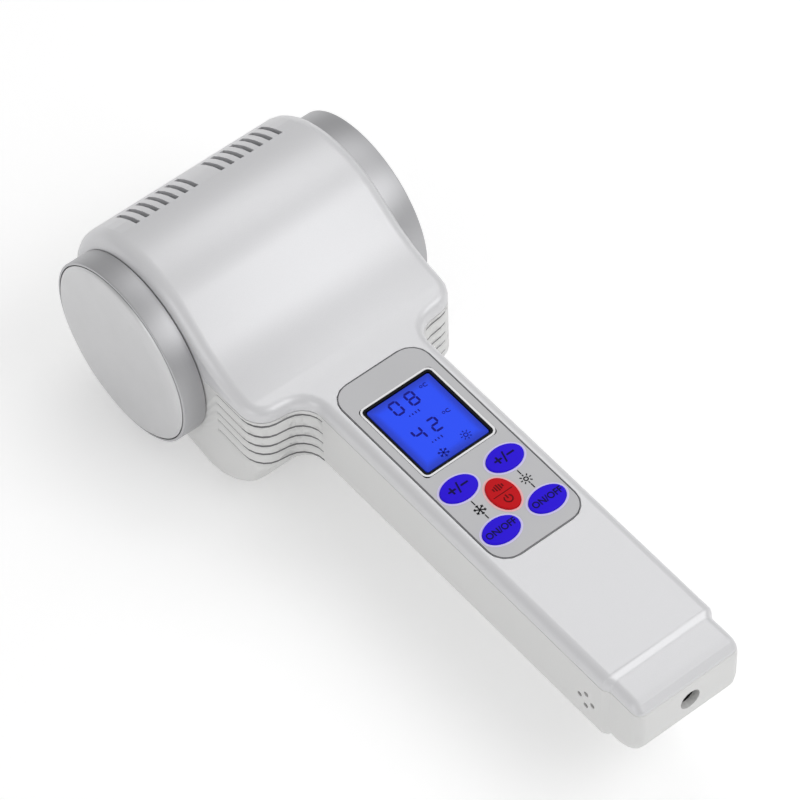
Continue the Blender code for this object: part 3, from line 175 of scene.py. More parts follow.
class DeviceSizes(bpy.types.PropertyGroup):
    """Sizes of the turned parts, the seal, the net, the keys and the prints"""

    ink: size("Ink", "How far a print stands off its surface", 0.04)
    plate_roll: size("Plate edge", "Width of the plate's domed edge", 5.5)
    plate_overhang: size("Plate overhang", "From the plate's boss to its rim", 3.8)
    plate_depth: size("Plate seat", "How deep the plate sits in its ring", 1.5)
    ring_edge: size("Ring edge", "Rounding of the ring's front edge", 0.3)
    spigot: size("Spigot wall", "Wall of the ring's spigot", 1.4)
    groove_line: size("Groove line", "Width of the painted shade in the grooves", 1.35)
    seal_inset: size("Seal inset", "How far the seal lies inside the shells", 0.1)
    net_radius: size("Net radius", "From the drum's axis to the vent net", 27.75)
    key_edge: size("Key edge", "Rounding of a key's top edge", 0.4)
    panel_line: size("Panel line", "Width of the line round the panel", 0.15)
    display_line: size("Display line", "Width of the line round the display", 0.55)
    key_line: size("Key line", "Width of the outline round a key", 0.55)
    digit_height: size("Digit height", "Height of a display digit", 4.6)
    digit_width: size("Digit width", "Width of a display digit", 2.9)
    digit_stroke: size("Digit stroke", "Width of a digit's segment", 0.6)
    link_width: size("Link width", "Width of a line between two keys", 0.3)
    icon: size("Icon", "Width of the icons between the keys", 3.2)


class DeviceStudio(bpy.types.PropertyGroup):
    """The floor, the lamps and the room"""

    floor: size("Floor", "Side of the floor", 6000.0)
    front_power: power("Front softbox", "Power of the wide softbox above the handle's end", 3.0)
    top_power: power("Top softbox", "Power of the softbox over the drum", 1.15)
    side_power: power("Side softbox", "Power of the softbox at the cold plate's side", 0.8)
    sky: bpy.props.FloatProperty(
        name="Room",
        description="Strength of the pale room round the object",
        default=0.5,
        min=0.0,
        subtype="FACTOR",
    )


# Node materials


def add(material, kind, inputs=(), links=(), **settings):
    """Adds a shader node with its socket values, its links from other nodes and its settings."""
    tree = material.node_tree
    new = tree.nodes.new(f"ShaderNode{kind}")
    for name, value in settings.items():
        setattr(new, name, value)
    for name, value in dict(inputs).items():
        new.inputs[name].default_value = value
    for name, source in dict(links).items():
        tree.links.new(source, new.inputs[name])
    return new


def opaque(value):
    """A colour with its alpha."""
    return (*value, 1.0)


def shaded(value, share):
    """A colour made lighter or darker by a share of itself."""
    return tuple(min(1.0, part * share) for part in value)


def plain_material(name, base, roughness, metallic=0.0, **fixed):
    """A material with its shader, whose constant values are set on its own sockets."""
    material = bpy.data.materials.new(name)
    material.use_nodes = True
    shader = material.node_tree.nodes["Principled BSDF"]
    shader.inputs["Base Color"].default_value = opaque(base)
    shader.inputs["Roughness"].default_value = roughness
    shader.inputs["Metallic"].default_value = metallic
    for socket, value in fixed.items():
        shader.inputs[socket.replace("_", " ")].default_value = value
    material.diffuse_color = opaque(base)
    return material, shader


def wire(material, source, shader, socket):
    """Runs a node's output into a socket of the shader."""
    material.node_tree.links.new(source, shader.inputs[socket])


def object_place(material):
    """Object coordinates, which are metres from the part's origin."""
    return add(material, "TexCoord").outputs["Object"]


def grain(material, per_metre, detail=2.0, stretch=(1.0, 1.0, 1.0)):
    """Noise on object coordinates, with this many grains to the metre."""
    place = add(
        material, "Mapping", inputs={"Scale": stretch}, links={"Vector": object_place(material)}
    )
    return add(
        material,
        "TexNoise",
        inputs={"Scale": per_metre, "Detail": detail, "Roughness": 0.55},
        links={"Vector": place.outputs["Vector"]},
    ).outputs["Fac"]


def tinted(material, shader, factor, low, high):
    """Runs the base colour from low to high with a pattern."""
    mix = add(material, "Mix", data_type="RGBA", links={"Factor": factor})
    mix.inputs[FIRST_COLOUR].default_value = opaque(low)
    mix.inputs[SECOND_COLOUR].default_value = opaque(high)
    wire(material, mix.outputs[MIXED_COLOUR], shader, "Base Color")
    return mix


def spread_roughness(material, shader, factor, low, high):
    """Runs the roughness from low to high with a pattern."""
    spread = add(
        material, "MapRange", inputs={"To Min": low, "To Max": high}, links={"Value": factor}
    )
    wire(material, spread.outputs["Result"], shader, "Roughness")


def bumped(material, shader, height, distance, strength=1.0):
    """Lets a pattern stand this many metres off the surface."""
    bump = add(
        material,
        "Bump",
        inputs={"Strength": strength, "Distance": distance},
        links={"Height": height},
    )
    wire(material, bump.outputs["Normal"], shader, "Normal")


def moulded(name, base, roughness, grit, depth, drift=0.03, **fixed):
    """Injection-moulded plastic: an even colour with a fine, shallow grit from the mould."""
    material, shader = plain_material(name, base, roughness, IOR=1.53, **fixed)
    fine = grain(material, 1 / grit)
    # The colour drifts over about 17 mm
    broad = grain(material, 60.0, detail=1.0)
    tinted(material, shader, broad, shaded(base, 1 - drift), shaded(base, 1 + drift))
    spread_roughness(material, shader, fine, roughness - 0.03, roughness + 0.03)
    bumped(material, shader, fine, depth)
    return material


def pearl_lacquer(name, base, shine=0.25):
    """ABS sprayed with pearl lacquer: tiny flakes that catch the light like soft, pale metal."""
    material, shader = plain_material(
        name, base, 0.4, metallic=shine, IOR=1.5, Coat_Weight=0.1, Coat_Roughness=0.25
    )
    # Real flakes are 0.03 mm across, and are drawn at 0.2 mm so that they show
    flakes = add(
        material,
        "TexVoronoi",
        inputs={"Scale": 1 / (0.2 * MILLIMETRE)},
        links={"Vector": object_place(material)},
    )
    tinted(material, shader, flakes.outputs["Distance"], shaded(base, 1.015), shaded(base, 0.975))
    # The lacquer's orange peel has waves of about 1.5 mm
    peel = grain(material, 1 / (1.5 * MILLIMETRE), detail=1.0)
    spread_roughness(material, shader, peel, 0.37, 0.43)
    bumped(material, shader, peel, 0.001 * MILLIMETRE)
    return material


def silicone(name, base):
    """Moulded silicone rubber, sprayed matt: deep colour with hardly any sheen."""
    return moulded(name, base, 0.55, 0.3 * MILLIMETRE, 0.002 * MILLIMETRE, Specular_IOR_Level=0.12)


def grille_sheet(name, base):
    """Moulded sheet with small round holes in rows, drawn as darker dots."""
    material, shader = plain_material(name, base, 0.5, IOR=1.53)
    # Holes lie 0.9 mm apart
    holes = add(
        material,
        "TexVoronoi",
        feature="F1",
        inputs={"Scale": 1 / (0.9 * MILLIMETRE), "Randomness": 0.0},
        links={"Vector": object_place(material)},
    )
    tinted(material, shader, holes.outputs["Distance"], shaded(base, 0.7), shaded(base, 1.05))
    grit = grain(material, 1 / (0.3 * MILLIMETRE))
    spread_roughness(material, shader, grit, 0.46, 0.56)
    return material


def ring_distance(material, axis_y, axis_z):
    """How far a point is from the drum's axis, in metres."""
    centred = add(
        material,
        "Mapping",
        inputs={"Location": (0.0, -axis_y, -axis_z), "Scale": (0.0, 1.0, 1.0)},
        links={"Vector": object_place(material)},
    )
    return add(
        material, "VectorMath", operation="LENGTH", links={0: centred.outputs["Vector"]}
    ).outputs["Value"]


def turned_plate(name, base, axis_y, axis_z):
    """Aluminium faced on a lathe and bead-blasted: a flat satin grey with faint turning marks."""
    material, shader = plain_material(name, base, 0.36, metallic=0.9)
    # Turning marks of 0.4 mm, coarser than the real 0.1 mm so that they show
    angle = add(
        material,
        "Math",
        operation="MULTIPLY",
        inputs={1: FULL_TURN / (0.4 * MILLIMETRE)},
        links={0: ring_distance(material, axis_y, axis_z)},
    )
    marks = add(material, "Math", operation="SINE", links={0: angle.outputs[0]})
    grit = grain(material, 1 / (0.3 * MILLIMETRE))
    height = add(
        material,
        "Math",
        operation="MULTIPLY_ADD",
        inputs={1: 0.25},
        links={0: marks.outputs[0], 2: grit},
    )
    broad = grain(material, 90.0, detail=2.0)
    tinted(material, shader, broad, shaded(base, 0.96), shaded(base, 1.03))
    spread_roughness(material, shader, grit, 0.33, 0.41)
    bumped(material, shader, height.outputs[0], 0.0015 * MILLIMETRE)
    return material


def satin_plating(name, base):
    """Nickel plated over a brushed ring: broad, soft bands of light with fine marks round it."""
    material, shader = plain_material(name, base, 0.48, metallic=1.0)
    # Rubbing marks 0.5 mm apart across the ring's width, long round it
    rubbing = grain(material, 1 / (0.5 * MILLIMETRE), detail=3.0, stretch=(1.0, 0.04, 0.04))
    tinted(material, shader, rubbing, shaded(base, 0.97), shaded(base, 1.03))
    spread_roughness(material, shader, rubbing, 0.44, 0.52)
    bumped(material, shader, rubbing, 0.0006 * MILLIMETRE)
    return material


def brushed(name, base, roughness, spacing, along=(1.0, 0.03, 1.0)):
    """Bare metal drawn or rolled one way: fine parallel marks."""
    material, shader = plain_material(name, base, roughness, metallic=1.0)
    marks = grain(material, 1 / spacing, detail=3.0, stretch=along)
    tinted(material, shader, marks, shaded(base, 0.88), shaded(base, 1.06))
    spread_roughness(material, shader, marks, roughness - 0.06, roughness + 0.08)
    bumped(material, shader, marks, 0.003 * MILLIMETRE)
    return material


def print_and_shade_film(name, base, roughness=0.45):
    """Screen-printed ink, and the painted shade in the grooves and round the panel's edge: an even,
    nearly flat film with a faint weave from the screen.
    """
    material, shader = plain_material(name, base, roughness, IOR=1.48, Specular_IOR_Level=0.1)
    mesh = grain(material, 1 / (0.15 * MILLIMETRE))
    tinted(material, shader, mesh, shaded(base, 0.93), shaded(base, 1.07))
    spread_roughness(material, shader, mesh, roughness - 0.04, roughness + 0.06)
    return material


def overlay_film(name, base):
    """Polycarbonate film with a velvet texture, printed grey on its back: soft and even."""
    material, shader = plain_material(name, base, 0.42, IOR=1.58)
    velvet = grain(material, 1 / (0.25 * MILLIMETRE), detail=2.0)
    cloud = grain(material, 45.0, detail=1.0)
    tinted(material, shader, cloud, shaded(base, 0.96), shaded(base, 1.04))
    spread_roughness(material, shader, velvet, 0.38, 0.48)
    bumped(material, shader, velvet, 0.002 * MILLIMETRE)
    return material


def lit_display(name, glow, edge, low, high):
    """Liquid crystal glass with a blue light behind it: bright in the middle, dull at the border."""
    material, shader = plain_material(name, glow, 0.3, IOR=1.52, Specular_IOR_Level=0.15)
    centre = (low + high) / 2
    extent = high - low
    # Runs from 0 in the middle to 1 at the border, along and across
    nearness = add(
        material,
        "Mapping",
        inputs={
            "Location": (-2 * centre.x / extent.x, -2 * centre.y / extent.y, 0.0),
            "Scale": (2 / extent.x, 2 / extent.y, 0.0),
        },
        links={"Vector": object_place(material)},
    )
    unsigned = add(
        material, "VectorMath", operation="ABSOLUTE", links={0: nearness.outputs["Vector"]}
    )
    parts = add(material, "SeparateXYZ", links={"Vector": unsigned.outputs["Vector"]})
    outer = add(
        material, "Math", operation="MAXIMUM", links={0: parts.outputs["X"], 1: parts.outputs["Y"]}
    )
    dimming = add(
        material,
        "MapRange",
        interpolation_type="SMOOTHSTEP",
        inputs={"From Min": 0.72, "From Max": 1.0, "To Min": 0.0, "To Max": 1.0},
        links={"Value": outer.outputs[0]},
    )
    # The light guide's dots, 0.3 mm apart, are only just visible
    dots = grain(material, 1 / (0.3 * MILLIMETRE), detail=1.0)
    uneven = add(
        material,
        "Math",
        operation="MULTIPLY_ADD",
        use_clamp=True,
        inputs={1: 0.06},
        links={0: dots, 2: dimming.outputs["Result"]},
    )
    mix = tinted(material, shader, uneven.outputs[0], glow, edge)
    wire(material, mix.outputs[MIXED_COLOUR], shader, "Emission Color")
    shader.inputs["Emission Strength"].default_value = 0.35
    return material


def woven_board(name, base):
    """Glass-fibre board under green lacquer: a faint square weave."""
    material, shader = plain_material(name, base, 0.35, IOR=1.5)
    # Yarns lie 0.8 mm apart
    weave = add(
        material,
        "TexBrick",
        inputs={"Scale": 1 / (1.6 * MILLIMETRE), "Mortar Size": 0.04},
        links={"Vector": object_place(material)},
    )
    tinted(material, shader, weave.outputs["Fac"], shaded(base, 1.1), shaded(base, 0.75))
    bumped(material, shader, weave.outputs["Fac"], 0.01 * MILLIMETRE, 0.5)
    return material


def wear(node, material):
    """Gives a CAD node its finish."""
    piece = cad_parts[node]
    if not piece.material_slots:
        piece.data.materials.append(material)
    for slot in piece.material_slots:
        slot.material = material


# Pieces


def finish_piece(name, work, body, material, bend=0.0):
    """Makes an object at the origin from a bmesh, with its finish, riding on its body.

    Bends up to the given angle are shaded round, and sharper edges stay sharp.
    """
    bmesh.ops.remove_doubles(work, verts=work.verts[:], dist=TOUCHING)
    bmesh.ops.recalc_face_normals(work, faces=work.faces[:])
    mesh = bpy.data.meshes.new(name)
    work.to_mesh(mesh)
    work.free()
    if bend:
        mesh.shade_smooth()
        mesh.set_sharp_from_angle(angle=bend)
    piece = bpy.data.objects.new(name, mesh)
    bpy.context.scene.collection.objects.link(piece)
    mesh.materials.append(material)
    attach(piece, body)
    return piece


def joined(node):
    """A bmesh of a CAD node with its loose triangles joined into whole faces."""
    work = bmesh.new()
    work.from_mesh(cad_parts[node].data)
    bmesh.ops.remove_doubles(work, verts=work.verts[:], dist=JOIN)
    bmesh.ops.dissolve_limit(work, angle_limit=FLAT, verts=work.verts[:], edges=work.edges[:])
    return work


def flush_underside(work):
    """Takes off the end of the socket's seat, which stands out of the rounded underside."""
    low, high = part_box("power_socket")
    half = width_of("power_socket") / 2
    seat = [
        vert
        for vert in work.verts
        if abs(abs(vert.co.x) - half) < JOIN and vert.co.y < high.y and vert.co.z < low.z
    ]
    bottom = min(vert.co.z for vert in seat)
    # The underside meets the seat within 1.8 mm of its bottom
    reach = 1.8 * MILLIMETRE
    rim = [vert for vert in seat if JOIN < vert.co.z - bottom < reach]
    corners = [vert for vert in seat if vert.co.z - bottom <= JOIN]
    bmesh.ops.delete(work, geom=corners, context="VERTS")
    rim.sort(key=lambda vert: vert.co.y)
    left = [vert for vert in rim if vert.co.x < 0]
    right = [vert for vert in rim if vert.co.x > 0]
    for one, next_one, other, next_other in zip(left, left[1:], right, right[1:]):
        work.faces.new((one, next_one, next_other, other))


def rounded_copy(node, work, material):
    """Makes the skin that stands for a shell, shaded round and even along the flat handle."""
    piece = finish_piece(f"{node}_skin", work, HOUSING, material, BEND)
    low = middle("cold_plate").y - HANDLE_NEAR
    handle = [vert.index for vert in piece.data.vertices if vert.co.y < low]
    piece.vertex_groups.new(name="handle").add(handle, 1.0, "REPLACE")
    finish = piece.modifiers.new("Even shading", "WEIGHTED_NORMAL")
    finish.vertex_group = "handle"
    finish.keep_sharp = True
    # Large faces rule the shading
    finish.weight = 80
    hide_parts(node)


def sliced(work, place, facing, outline_only=False):
    """Cuts a mesh at a plane, and keeps all of it or only the outline of the cut."""
    bmesh.ops.bisect_plane(
        work,
        geom=[*work.verts, *work.edges, *work.faces],
        dist=TOUCHING,
        plane_co=place,
        plane_no=facing,
        clear_inner=outline_only,
        clear_outer=outline_only,
    )


def spun(work, profile, axis, angle=FULL_TURN, start=0.0, steps=TURN_STEPS, closed=False):
    """Turns a profile of radius and x round the drum's axis."""
    lift = Vector((0, math.sin(start), math.cos(start)))
    verts = [work.verts.new(Vector((x, axis.y, axis.z)) + lift * radius) for radius, x in profile]
    pairs = list(zip(verts, verts[1:]))
    if closed:
        pairs.append((verts[-1], verts[0]))
    edges = [work.edges.new(pair) for pair in pairs]
    bmesh.ops.spin(
        work,
        geom=[*verts, *edges],
        cent=axis,
        axis=(1, 0, 0),
        angle=angle,
        steps=steps,
        use_merge=angle == FULL_TURN,
    )


def domed_edge(radius, x, width, depth, side, steps):
    """Profile points from a flat face round to its rim, in a soft dome that ends in a tight turn."""
    dome = 0.55
    turn = 0.45
    points = []
    for step in range(steps + 1):
        share = step / steps
        drop = depth * (dome * share**2 + turn * share**8)
        points.append((radius - width * (1 - share), x - side * drop))
    return points


def raise_faces(work, faces, height):
    """Gives flat faces a thickness upwards."""
    raised = bmesh.ops.extrude_face_region(work, geom=faces, use_keep_orig=True)
    moved = [part for part in raised["geom"] if isinstance(part, bmesh.types.BMVert)]
    bmesh.ops.translate(work, verts=moved, vec=(0, 0, height))


def move_new(work, known, matrix):
    """Places the vertices that a step has added."""
    fresh = [vert for vert in work.verts if vert not in known]
    bmesh.ops.transform(work, matrix=matrix, verts=fresh)


def framed(work, faces, width, height):
    """Turns a flat face into a raised band of this width along its edge."""
    bmesh.ops.inset_region(
        work, faces=faces, thickness=width, use_boundary=True, use_even_offset=True
    )
    bmesh.ops.delete(work, geom=faces, context="FACES_ONLY")
    raise_faces(work, work.faces[:], height)


def rounded_sheet(work, low, high, corner, z):
    """A flat rectangle with rounded corners."""
    known = set(work.verts)
    made = bmesh.ops.create_grid(work, x_segments=1, y_segments=1, size=0.5)
    at = Matrix.Translation(((low.x + high.x) / 2, (low.y + high.y) / 2, z))
    grow = Matrix.Diagonal((high.x - low.x, high.y - low.y, 1, 1))
    move_new(work, known, at @ grow)
    bmesh.ops.bevel(
        work,
        geom=made["verts"],
        affect="VERTICES",
        offset=corner,
        segments=8,
        profile=0.5,
        material=-1,
    )


def oval_sheet(work, centre, width, length, steps=OVAL_STEPS):
    """A flat oval."""
    bmesh.ops.create_circle(
        work,
        cap_ends=True,
        segments=steps,
        radius=0.5,
        matrix=Matrix.Translation(centre) @ Matrix.Diagonal((width, length, 1, 1)),
    )


def bar(work, start, end, width, z, height, point=0.0):
    """A flat bar between two places, with pointed ends where asked, raised to its height."""
    first = Vector((*start, z))
    last = Vector((*end, z))
    way = (last - first).normalized()
    side = Vector((-way.y, way.x, 0)) * width / 2
    tip = way * point
    corners = [first + tip - side, last - tip - side, last - tip + side, first + tip + side]
    if point:
        corners.insert(2, last)
        corners.append(first)
    face = work.faces.new([work.verts.new(corner) for corner in corners])
    raise_faces(work, [face], height)


def flat_ring(work, centre, radius, width, z, height, steps=RING_STEPS):
    """A raised ring."""
    before = set(work.faces)
    oval_sheet(work, (*centre, z), 2 * radius, 2 * radius, steps)
    faces = [face for face in work.faces if face not in before]
    rim = bmesh.ops.inset_region(
        work, faces=faces, thickness=width, use_boundary=True, use_even_offset=True
    )
    bmesh.ops.delete(work, geom=faces, context="FACES_ONLY")
    raise_faces(work, rim["faces"], height)


def lettering(work, text, centre, tall, z, height, squeeze=1.0):
    """Adds a plain word or sign, centred on its place, as raised print."""
    curve = bpy.data.curves.new("lettering", "FONT")
    curve.body = text
    curve.align_x = "CENTER"
    curve.align_y = "CENTER"
    curve.resolution_u = 4
    curve.extrude = 0.5
    # Widens the strokes to those of a bold face
    curve.offset = 0.018
    shape = bpy.data.objects.new("lettering", curve)
    mesh = bpy.data.meshes.new_from_object(shape)
    bpy.data.objects.remove(shape)
    bpy.data.curves.remove(curve)
    known = set(work.verts)
    work.from_mesh(mesh)
    bpy.data.meshes.remove(mesh)
    at = Matrix.Translation((*centre, z + height / 2))
    move_new(work, known, at @ Matrix.Diagonal((tall * squeeze, tall, height, 1)))


# The bars of a display digit that each figure lights

SEGMENTS = {"0": "abcdef", "2": "abged", "4": "fgbc", "8": "abcdefg"}


def digit(work, sign, centre, sizes, z):
    """One seven-segment digit of pointed bars."""
    half_width = (sizes.digit_width - sizes.digit_stroke) / 2
    half_height = (sizes.digit_height - sizes.digit_stroke) / 2
    x, y = centre
    left = x - half_width
    right = x + half_width
    top = y + half_height
    low = y - half_height
    gap = sizes.digit_stroke * 0.14
    ends = {
        "a": ((left + gap, top), (right - gap, top)),
        "b": ((right, top - gap), (right, y + gap)),
        "c": ((right, y - gap), (right, low + gap)),
        "d": ((left + gap, low), (right - gap, low)),
        "e": ((left, y - gap), (left, low + gap)),
        "f": ((left, top - gap), (left, y + gap)),
        "g": ((left + gap, y), (right - gap, y)),
    }
    width = sizes.digit_stroke
    for name in SEGMENTS[sign]:
        start, end = ends[name]
        bar(work, start, end, width, z, sizes.ink, point=width / 2)


# Printed signs, whose parts are shares of the sign's width


def heading(angle):
    """A step of one metre across the panel, in this direction."""
    return Vector((math.cos(angle), math.sin(angle)))


def snow_sign(work, centre, across, stroke, z, height):
    """Six arms with a short fork on each."""
    fork_place = 0.3
    fork_length = 0.17
    for arm in range(6):
        angle = math.radians(90 + 60 * arm)
        way = heading(angle)
        bar(work, centre, Vector(centre) + way * across / 2, stroke, z, height)
        fork = Vector(centre) + way * across * fork_place
        for lean in (-0.75, 0.75):
            end = fork + heading(angle + lean) * across * fork_length
            bar(work, fork, end, stroke * 0.8, z, height)


def sun_sign(work, centre, across, stroke, z, height):
    """A ring with eight short rays."""
    disc = 0.22
    ray_start = 0.31
    flat_ring(work, centre, across * disc, stroke, z, height)
    for ray in range(8):
        way = heading(math.radians(45 * ray))
        start = Vector(centre) + way * across * ray_start
        bar(work, start, Vector(centre) + way * across / 2, stroke, z, height)


def power_sign(work, centre, across, stroke, z, height):
    """The usual ring with a gap and a line in it."""
    steps = 22
    opening = 76
    radius = across / 2 - stroke / 2
    points = []
    for step in range(steps + 1):
        angle = math.radians(90 + opening / 2 + (360 - opening) * step / steps)
        points.append(Vector(centre) + heading(angle) * radius)
    for start, end in zip(points, points[1:]):
        bar(work, start, end, stroke, z, height)
    foot = Vector(centre) + Vector((0, across * 0.02))
    top = Vector(centre) + Vector((0, across * 0.55))
    bar(work, foot, top, stroke, z, height)


def wave_sign(work, centre, across, stroke, z, height):
    """Upright bars of uneven height, for the vibration."""
    tallest = 0.3
    for place, share in enumerate((0.45, 0.8, 1.0, 0.8, 0.45)):
        x = centre[0] + (place - 2) * across / 5
        half = share * across * tallest
        bar(work, (x, centre[1] - half), (x, centre[1] + half), stroke, z, height)


def level_bars(work, centre, stroke, z, height):
    """A row of four small bars under a temperature, each a little taller than the last."""
    count = 4
    pitch = 3.2 * stroke
    for place in range(count):
        x = centre[0] + (place - (count - 1) / 2) * pitch
        tall = stroke * (1.4 + 0.5 * place)
        bar(work, (x, centre[1] - tall / 2), (x, centre[1] + tall / 2), stroke, z, height)


# Places and sizes read from the frame


def settings():
    """The scene's colours, sizes and studio values."""
    scene = bpy.context.scene
    return scene.device_colours, scene.device_sizes, scene.device_studio


def surface(node):
    """A node's top."""
    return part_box(node)[1].z


def middle(node):
    """The middle of a node's box."""
    low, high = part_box(node)
    return (low + high) / 2


def width_of(node):
    """A node's size along x."""
    low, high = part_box(node)
    return high.x - low.x


def radius_of(node):
    """The radius of a node that is round about x."""
    low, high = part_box(node)
    return (high.z - low.z) / 2


def round_node(node, side):
    """A round node's axis, radius and the x of its inner and outer ends."""
    low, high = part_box(node)
    centre = (low + high) / 2
    centre.x = 0.0
    ends = (low.x, high.x) if side > 0 else (high.x, low.x)
    return centre, radius_of(node), *ends


def key_face(key):
    """Width and length of a key's visible oval, of which the red one stands along the handle."""
    return (KEY_SHORT, KEY_LONG) if key == RED_KEY else (KEY_LONG, KEY_SHORT)


def is_groove_bottom(edge):
    """Whether an edge lies in a hollow between a ledge that looks down and a rising slope."""
    if len(edge.link_faces) != 2 or edge.is_convex:
        return False
    ledge, slope = sorted(face.normal.z for face in edge.link_faces)
    return ledge < -0.85 and 0.4 < slope < 0.9


# Operators


class DressHousing(bpy.types.Operator):
    """Makes the shells' skins, the seal between them, the painted shade in the grooves and the net
    """

    bl_idname = "device.dress_housing"
    bl_label = "Dress the housing"

    def execute(self, context):
        colours, sizes, _ = settings()
        pearl = pearl_lacquer("Pearl lacquered ABS", colours.pearl)
        white = pearl_lacquer("Lacquered white ABS", colours.white, 0.12)
        wear("upper_shell", pearl)
        wear("lower_shell", white)
        wear("display_module", white)
        rounded_copy("upper_shell", joined("upper_shell"), pearl)
        lower = joined("lower_shell")
        flush_underside(lower)
        rounded_copy("lower_shell", lower, white)
        self.seal(sizes, white)
        self.groove_lines(colours, sizes)
        self.net(colours, sizes)
        return {"FINISHED"}

    def seal(self, sizes, material):
        """The lip that closes the gap between the shells, but for the dark line at the neck."""
        work = joined("lower_shell")
        below_top = surface("lower_shell") - 0.05 * MILLIMETRE
        sliced(work, (0, 0, below_top), (0, 0, 1), outline_only=True)
        bmesh.ops.triangle_fill(work, edges=work.edges[:], use_beauty=True)
        low = middle("cold_plate").y - NECK_FAR
        high = middle("cold_plate").y - NECK_NEAR
        for y in (low, high):
            sliced(work, (0, y, 0), (0, 1, 0))
        neck = [face for face in work.faces if low < face.calc_center_median().y < high]
        bmesh.ops.delete(work, geom=neck, context="FACES")
        bmesh.ops.inset_region(
            work, faces=work.faces[:], thickness=sizes.seal_inset, use_boundary=True
        )
        rim = [face for face in work.faces if any(edge.is_boundary for edge in face.edges)]
        bmesh.ops.delete(work, geom=rim, context="FACES")
        raise_faces(work, work.faces[:], GAP)
        finish_piece("parting_seal", work, HOUSING, material)

    def groove_lines(self, colours, sizes):
        """Painted shade: a grey film on the slope below each groove's bottom edge, a little off the
        shell, for the dark line under each ledge.
        """
        work = joined("lower_shell")
        work.normal_update()
        slopes = {}
        corners = [edge for edge in work.edges if is_groove_bottom(edge)]
        for edge in corners:
            slope = max(edge.link_faces, key=lambda face: face.normal.z)
            first, last = edge.verts
            down = (last.co - first.co).cross(slope.normal).normalized()
            if down.z > 0:
                down = -down
            for vert in edge.verts:
                slopes.setdefault(vert, []).append((down, slope.normal.copy()))
        lines = bmesh.new()
        places = {vert: lines.verts.new(vert.co) for vert in slopes}
        for edge in corners:
            lines.edges.new([places[vert] for vert in edge.verts])
        wide = bmesh.ops.extrude_edge_only(lines, edges=lines.edges[:])
        fresh = [part for part in wide["geom"] if isinstance(part, bmesh.types.BMVert)]
        sides_at = {tuple(vert.co): sides for vert, sides in slopes.items()}
        moves = []
        for vert in fresh:
            sides = sides_at[tuple(vert.co)]
            down = sum((side[0] for side in sides), Vector()) / len(sides)
            moves.append((vert, down * sizes.groove_line))
        for vert in lines.verts:
            sides = sides_at[tuple(vert.co)]
            out = sum((side[1] for side in sides), Vector()) / len(sides)
            moves.append((vert, out * sizes.ink))
        for vert, move in moves:
            vert.co += move
        work.free()
        # The grey film is painted shade, where each ledge throws its shadow
        ink = print_and_shade_film("Grey groove paint", colours.groove)
        finish_piece("groove_lines", lines, HOUSING, ink)

    def net(self, colours, sizes):
        """A curved grille sheet inside the back of the drum."""
        axis = middle("cold_ring")
        axis.x = 0.0
        half = width_of("upper_shell") / 2 - 4.5 * MILLIMETRE
        # It starts this far from the drum's top and runs on downwards
        start = math.radians(76)
        sweep = math.radians(-34)
        work = bmesh.new()
        profile = [(sizes.net_radius, -half), (sizes.net_radius, half)]
        spun(work, profile, axis, sweep, start, steps=24)
        material = grille_sheet("Perforated grey ABS", colours.net)
        piece = finish_piece("vent_net", work, HOUSING, material, BEND)
        thickness = piece.modifiers.new("Thickness", "SOLIDIFY")
        thickness.thickness = 0.4 * MILLIMETRE
        thickness.offset = 0.0


class DressHeads(bpy.types.Operator):
    """Turns the plates and rings at the drum's ends"""

    bl_idname = "device.dress_heads"
    bl_label = "Make the plates and rings"

    def execute(self, context):
        colours, sizes, _ = settings()
        axis = middle("cold_plate")
        plate = turned_plate("Blasted aluminium", colours.plate, axis.y, axis.z)
        ring = satin_plating("Satin nickel plating", colours.ring)
        for end, side in (("cold", -1), ("hot", 1)):
            wear(f"{end}_plate", plate)
            wear(f"{end}_ring", ring)
            self.plate(end, side, sizes, plate)
            self.ring(end, side, sizes, ring)
        return {"FINISHED"}

    def plate(self, end, side, sizes, material):
        """A disc with a domed edge, and a boss that goes into the drum."""
        centre, radius, inner, face = round_node(f"{end}_plate", side)
        front = round_node(f"{end}_ring", side)[3]
        crown = abs(face - front)
        back = front - side * (sizes.plate_depth - GAP)
        boss = radius - sizes.plate_overhang
        profile = [(0.0, face)]
        profile += domed_edge(radius, face, sizes.plate_roll, crown, side, steps=20)
        profile += [(radius, back), (boss, back), (boss, inner), (0.0, inner)]
        work = bmesh.new()
        spun(work, profile, centre)
        piece = finish_piece(f"{end}_face", work, HOUSING, material, BEND)
        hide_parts(f"{end}_plate")

    def ring(self, end, side, sizes, material):
        """A band with a recess for the plate's rim, and a spigot in the housing."""
        centre, radius, inner, front = round_node(f"{end}_ring", side)
        plate_radius = radius_of(f"{end}_plate")
        floor = front - side * sizes.plate_depth
        bore = plate_radius - sizes.plate_overhang + 0.4 * MILLIMETRE
        recess = plate_radius + GAP
        seat = round_node(f"{end}_plate", side)[2]
        profile = [(bore, floor), (recess, floor), (recess, front)]
        profile += domed_edge(radius, front, sizes.ring_edge, sizes.ring_edge, side, steps=5)
        profile += [(radius, seat), (bore + sizes.spigot, seat)]
        profile += [(bore + sizes.spigot, inner), (bore, inner)]
        work = bmesh.new()
        spun(work, profile, centre, closed=True)
        piece = finish_piece(f"{end}_band", work, HOUSING, material, BEND)
        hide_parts(f"{end}_ring")


# Plastic and ceramic parts: finish, colour, roughness, size and depth of the grit in
# millimetres, drift of the colour, and the nodes that wear it

